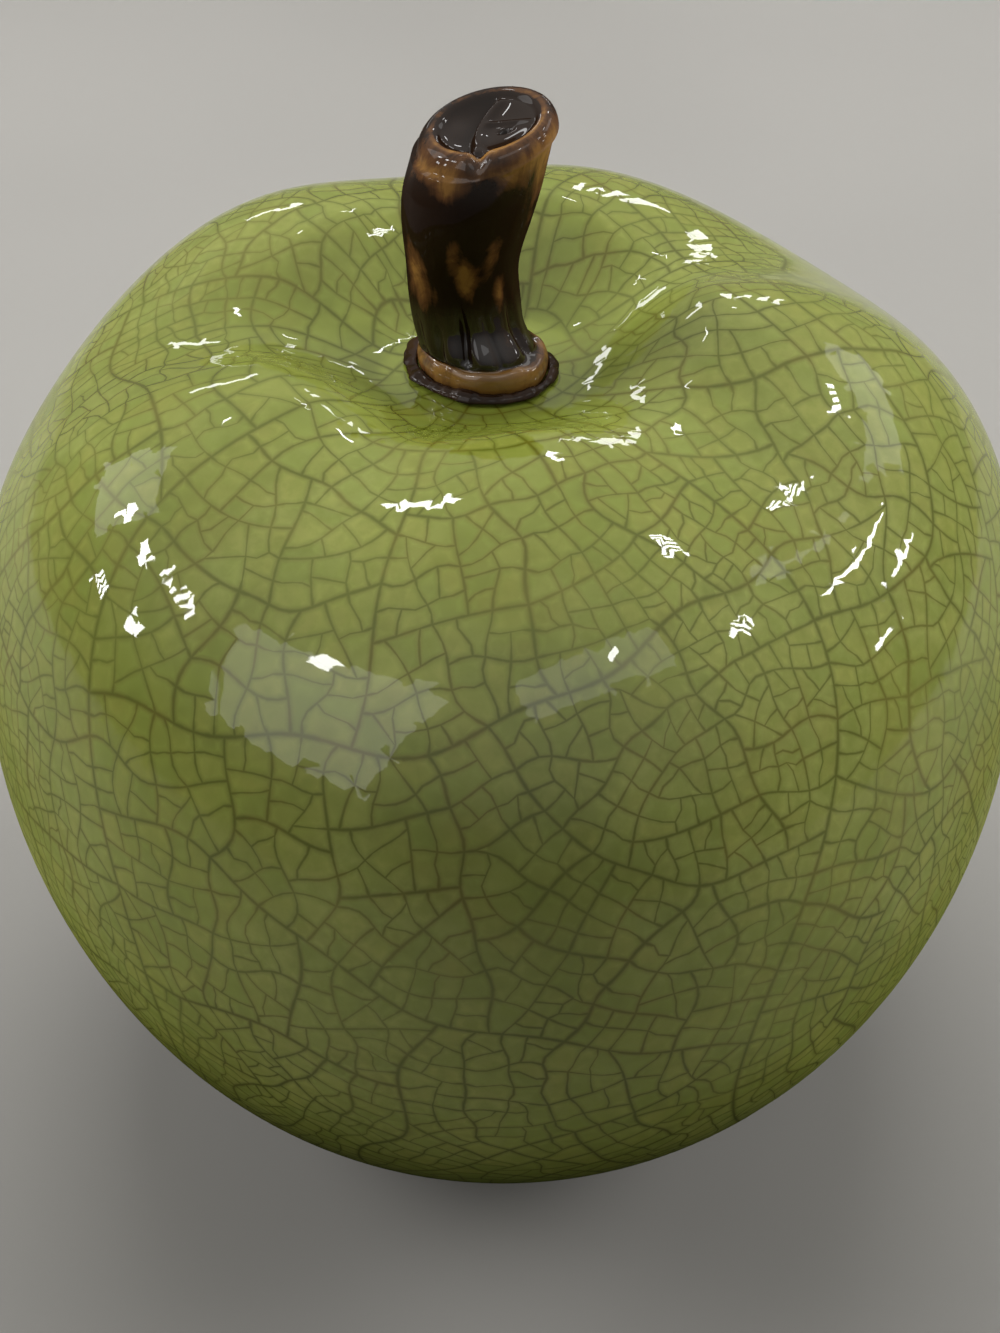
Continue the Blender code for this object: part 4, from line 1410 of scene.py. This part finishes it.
class AppleLooks(bpy.types.PropertyGroup):
    """Sizes and colours of the glazed body."""

    crack_spacing: FloatProperty(
        name="Crack Point Spacing", description="Distance between the points along a crack",
        default=1.75 * MM, unit="LENGTH")
    cell_area: FloatProperty(
        name="Cell Area", description="Area under which a cell of the glaze no longer cracks",
        default=25.0 * MM**2, unit="AREA")
    seed: IntProperty(
        name="Seed", description="Start of the random draws of the crackle", default=7)
    glaze_light: paint("Glaze", "Green of the glaze", (0.242, 0.276, 0.066))
    glaze_deep: paint("Deep Glaze", "Green where the glaze pools", (0.164, 0.198, 0.027))
    # Painted shade: the near-black green that the glaze takes toward the foot
    foot_shade_glaze: paint(
        "Foot Shade Glaze", "Green darkened toward the foot as painted shade", (0.026, 0.032, 0.002))
    glaze_yellow: paint("Yellow Glaze", "Yellower green of some cells", (0.246, 0.238, 0.042))
    crack_green: paint("Crack", "Dark green of the older cracks", (0.064, 0.070, 0.003))
    # Painted shade: the darker crack lines toward the foot
    crack_foot_shade: paint("Foot Crack", "Darker line of the cracks at the foot", (0.014, 0.016, 0.001))
    crack_brown: paint("Stained Crack", "Brown of the stained cracks", (0.088, 0.075, 0.005))


class StemLooks(bpy.types.PropertyGroup):
    """Colours of the stem's glaze."""

    glaze_black: paint(
        "Thick Glaze", "Colour where the glaze lies thick", (0.012, 0.0055, 0.0025))
    glaze_brown: paint(
        "Brown Glaze", "Colour where the glaze lies thinner", (0.078, 0.033, 0.011))
    glaze_amber: paint(
        "Amber Glaze", "Colour where the glaze breaks on edges", (0.200, 0.098, 0.024))


class StageLooks(bpy.types.PropertyGroup):
    """Floor and lamps."""

    floor: paint("Floor", "Colour of the plain floor", (0.26, 0.251, 0.233))
    light: FloatProperty(
        name="Light", description="Level of all the lamps", default=1.0, min=0.0, soft_max=2.0)


class APPLE_OT_body(bpy.types.Operator):
    """Build the glazed body with its crackle"""

    bl_idname = "ceramic_apple.body"
    bl_label = "Glazed Body"

    def execute(self, context):
        looks = context.scene.apple_looks
        cell_area = looks.cell_area * 1.0
        skin = Skin()
        net = CrackNet(skin, looks.crack_spacing, cell_area, looks.seed)
        mesh = body_mesh(skin, net, np.random.default_rng(looks.seed))
        materials = [crackle_glaze_material(looks), bare_clay_material()]
        add_piece("apple_glazed_body", mesh, materials, ["apple_body"])
        return {"FINISHED"}


class APPLE_OT_stem(bpy.types.Operator):
    """Build the glazed clay stem"""

    bl_idname = "ceramic_apple.stem"
    bl_label = "Stem"

    def execute(self, context):
        material = stem_glaze_material(context.scene.stem_looks)
        add_piece("apple_stem", stem_mesh(), [material], ["stem"])
        return {"FINISHED"}


class APPLE_OT_bead(bpy.types.Operator):
    """Build the bead of dark glaze round the stem's foot"""

    bl_idname = "ceramic_apple.bead"
    bl_label = "Stem Bead"

    def execute(self, context):
        material = bead_material(context.scene.stem_looks)
        add_piece("apple_stem_bead", bead_mesh(), [material], ["stem_bead"])
        return {"FINISHED"}


class APPLE_OT_pads(bpy.types.Operator):
    """Build the felt pads under the foot ring"""

    bl_idname = "ceramic_apple.pads"
    bl_label = "Felt Pads"

    def execute(self, context):
        material = felt_material()
        chance = np.random.default_rng(PAD_SEED)
        for number in (1, 2, 3):
            node = f"felt_pad_{number}"
            mesh = pad_mesh(f"apple_pad_{number}", *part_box(node), chance)
            add_piece(f"apple_pad_{number}", mesh, [material], [node])
        return {"FINISHED"}


class APPLE_OT_stage(bpy.types.Operator):
    """Set the floor, the lamps, the surroundings and the camera"""

    bl_idname = "ceramic_apple.stage"
    bl_label = "Stage"

    def execute(self, context):
        scene = context.scene
        looks = scene.stage_looks
        self.add_floor(looks)
        self.add_lamps(looks.light)
        self.set_surroundings(scene)
        self.set_camera(scene)
        scene.view_settings.view_transform = "Standard"
        return {"FINISHED"}

    def add_floor(self, looks):
        """Large plain floor under the apple."""
        mesh = bpy.data.meshes.new("floor")
        corners = ((-1, -1), (1, -1), (1, 1), (-1, 1))
        mesh.from_pydata(
            [(FLOOR_HALF * x, FLOOR_HALF * y, 0.0) for x, y in corners], [], [(0, 1, 2, 3)])
        mesh.materials.append(floor_material(looks))
        floor = bpy.data.objects.new("floor", mesh)
        bpy.context.scene.collection.objects.link(floor)

    def add_lamps(self, level):
        """Soft light on the clay, and the softboxes and strips that the glaze mirrors."""
        for row in LAMPS:
            lamp(*row, level)

    def set_surroundings(self, scene):
        """Surroundings that look pale, dimmer low down, and give a little soft light."""
        world = bpy.data.worlds.new("surroundings")
        world.use_nodes = True
        tree = world.node_tree
        back = tree.nodes["Background"]
        back.inputs["Color"].default_value = SURROUNDINGS
        way = put(tree, "ShaderNodeTexCoord").outputs["Generated"]
        height = put(tree, "ShaderNodeSeparateXYZ", {"Vector": way}).outputs["Z"]
        pale = eased(tree, height, 0.0, SKY_HEIGHT, HORIZON_LEVEL, SKY_LEVEL)
        strength = put(tree, "ShaderNodeMix", {0: seen(tree), 2: SOFT_LIGHT, 3: pale}).outputs[0]
        tree.links.new(strength, back.inputs["Strength"])
        scene.world = world

    def set_camera(self, scene):
        """Camera at the photograph's viewing angle."""
        view = bpy.data.cameras.new("camera")
        view.sensor_fit = "VERTICAL"
        view.sensor_height = SENSOR
        view.lens = CAMERA_FOCAL_PIXELS * SENSOR / PHOTO_HEIGHT_PIXELS
        view.clip_start = 0.01
        camera = bpy.data.objects.new("camera", view)
        back = Vector((0.0, -math.cos(CAMERA_PITCH), math.sin(CAMERA_PITCH)))
        camera.location = CAMERA_TARGET + back * CAMERA_DISTANCE
        camera.rotation_euler = (math.pi / 2 - CAMERA_PITCH, 0.0, 0.0)
        scene.collection.objects.link(camera)
        scene.camera = camera


class APPLE_PT_panel(bpy.types.Panel):
    """Lists the apple's pieces and their looks"""

    bl_label = "Ceramic Apple"
    bl_idname = "APPLE_PT_panel"
    bl_space_type = "VIEW_3D"
    bl_region_type = "UI"
    bl_category = "Apple"

    def draw(self, context):
        for setting in GROUPS:
            group = getattr(context.scene, setting)
            box = self.layout.box()
            for name in group.__annotations__:
                box.prop(group, name)
        for operator in OPERATORS:
            self.layout.operator(operator.bl_idname)


OPERATORS = (APPLE_OT_body, APPLE_OT_stem, APPLE_OT_bead, APPLE_OT_pads, APPLE_OT_stage)
GROUPS = {"apple_looks": AppleLooks, "stem_looks": StemLooks, "stage_looks": StageLooks}


def register():
    """Register the classes and their settings."""
    for group in GROUPS.values():
        bpy.utils.register_class(group)
    for name, group in GROUPS.items():
        setattr(bpy.types.Scene, name, PointerProperty(type=group))
    for item in (*OPERATORS, APPLE_PT_panel):
        bpy.utils.register_class(item)


def unregister():
    """Take the classes and their settings out again."""
    for item in (APPLE_PT_panel, *OPERATORS):
        bpy.utils.unregister_class(item)
    for name, group in GROUPS.items():
        delattr(bpy.types.Scene, name)
        bpy.utils.unregister_class(group)


def main():
    """Build the apple and its stage."""
    register()
    glaze_flow_group()
    bpy.ops.ceramic_apple.body()
    bpy.ops.ceramic_apple.stem()
    bpy.ops.ceramic_apple.bead()
    bpy.ops.ceramic_apple.pads()
    bpy.ops.ceramic_apple.stage()


if __name__ == "__main__":
    main()
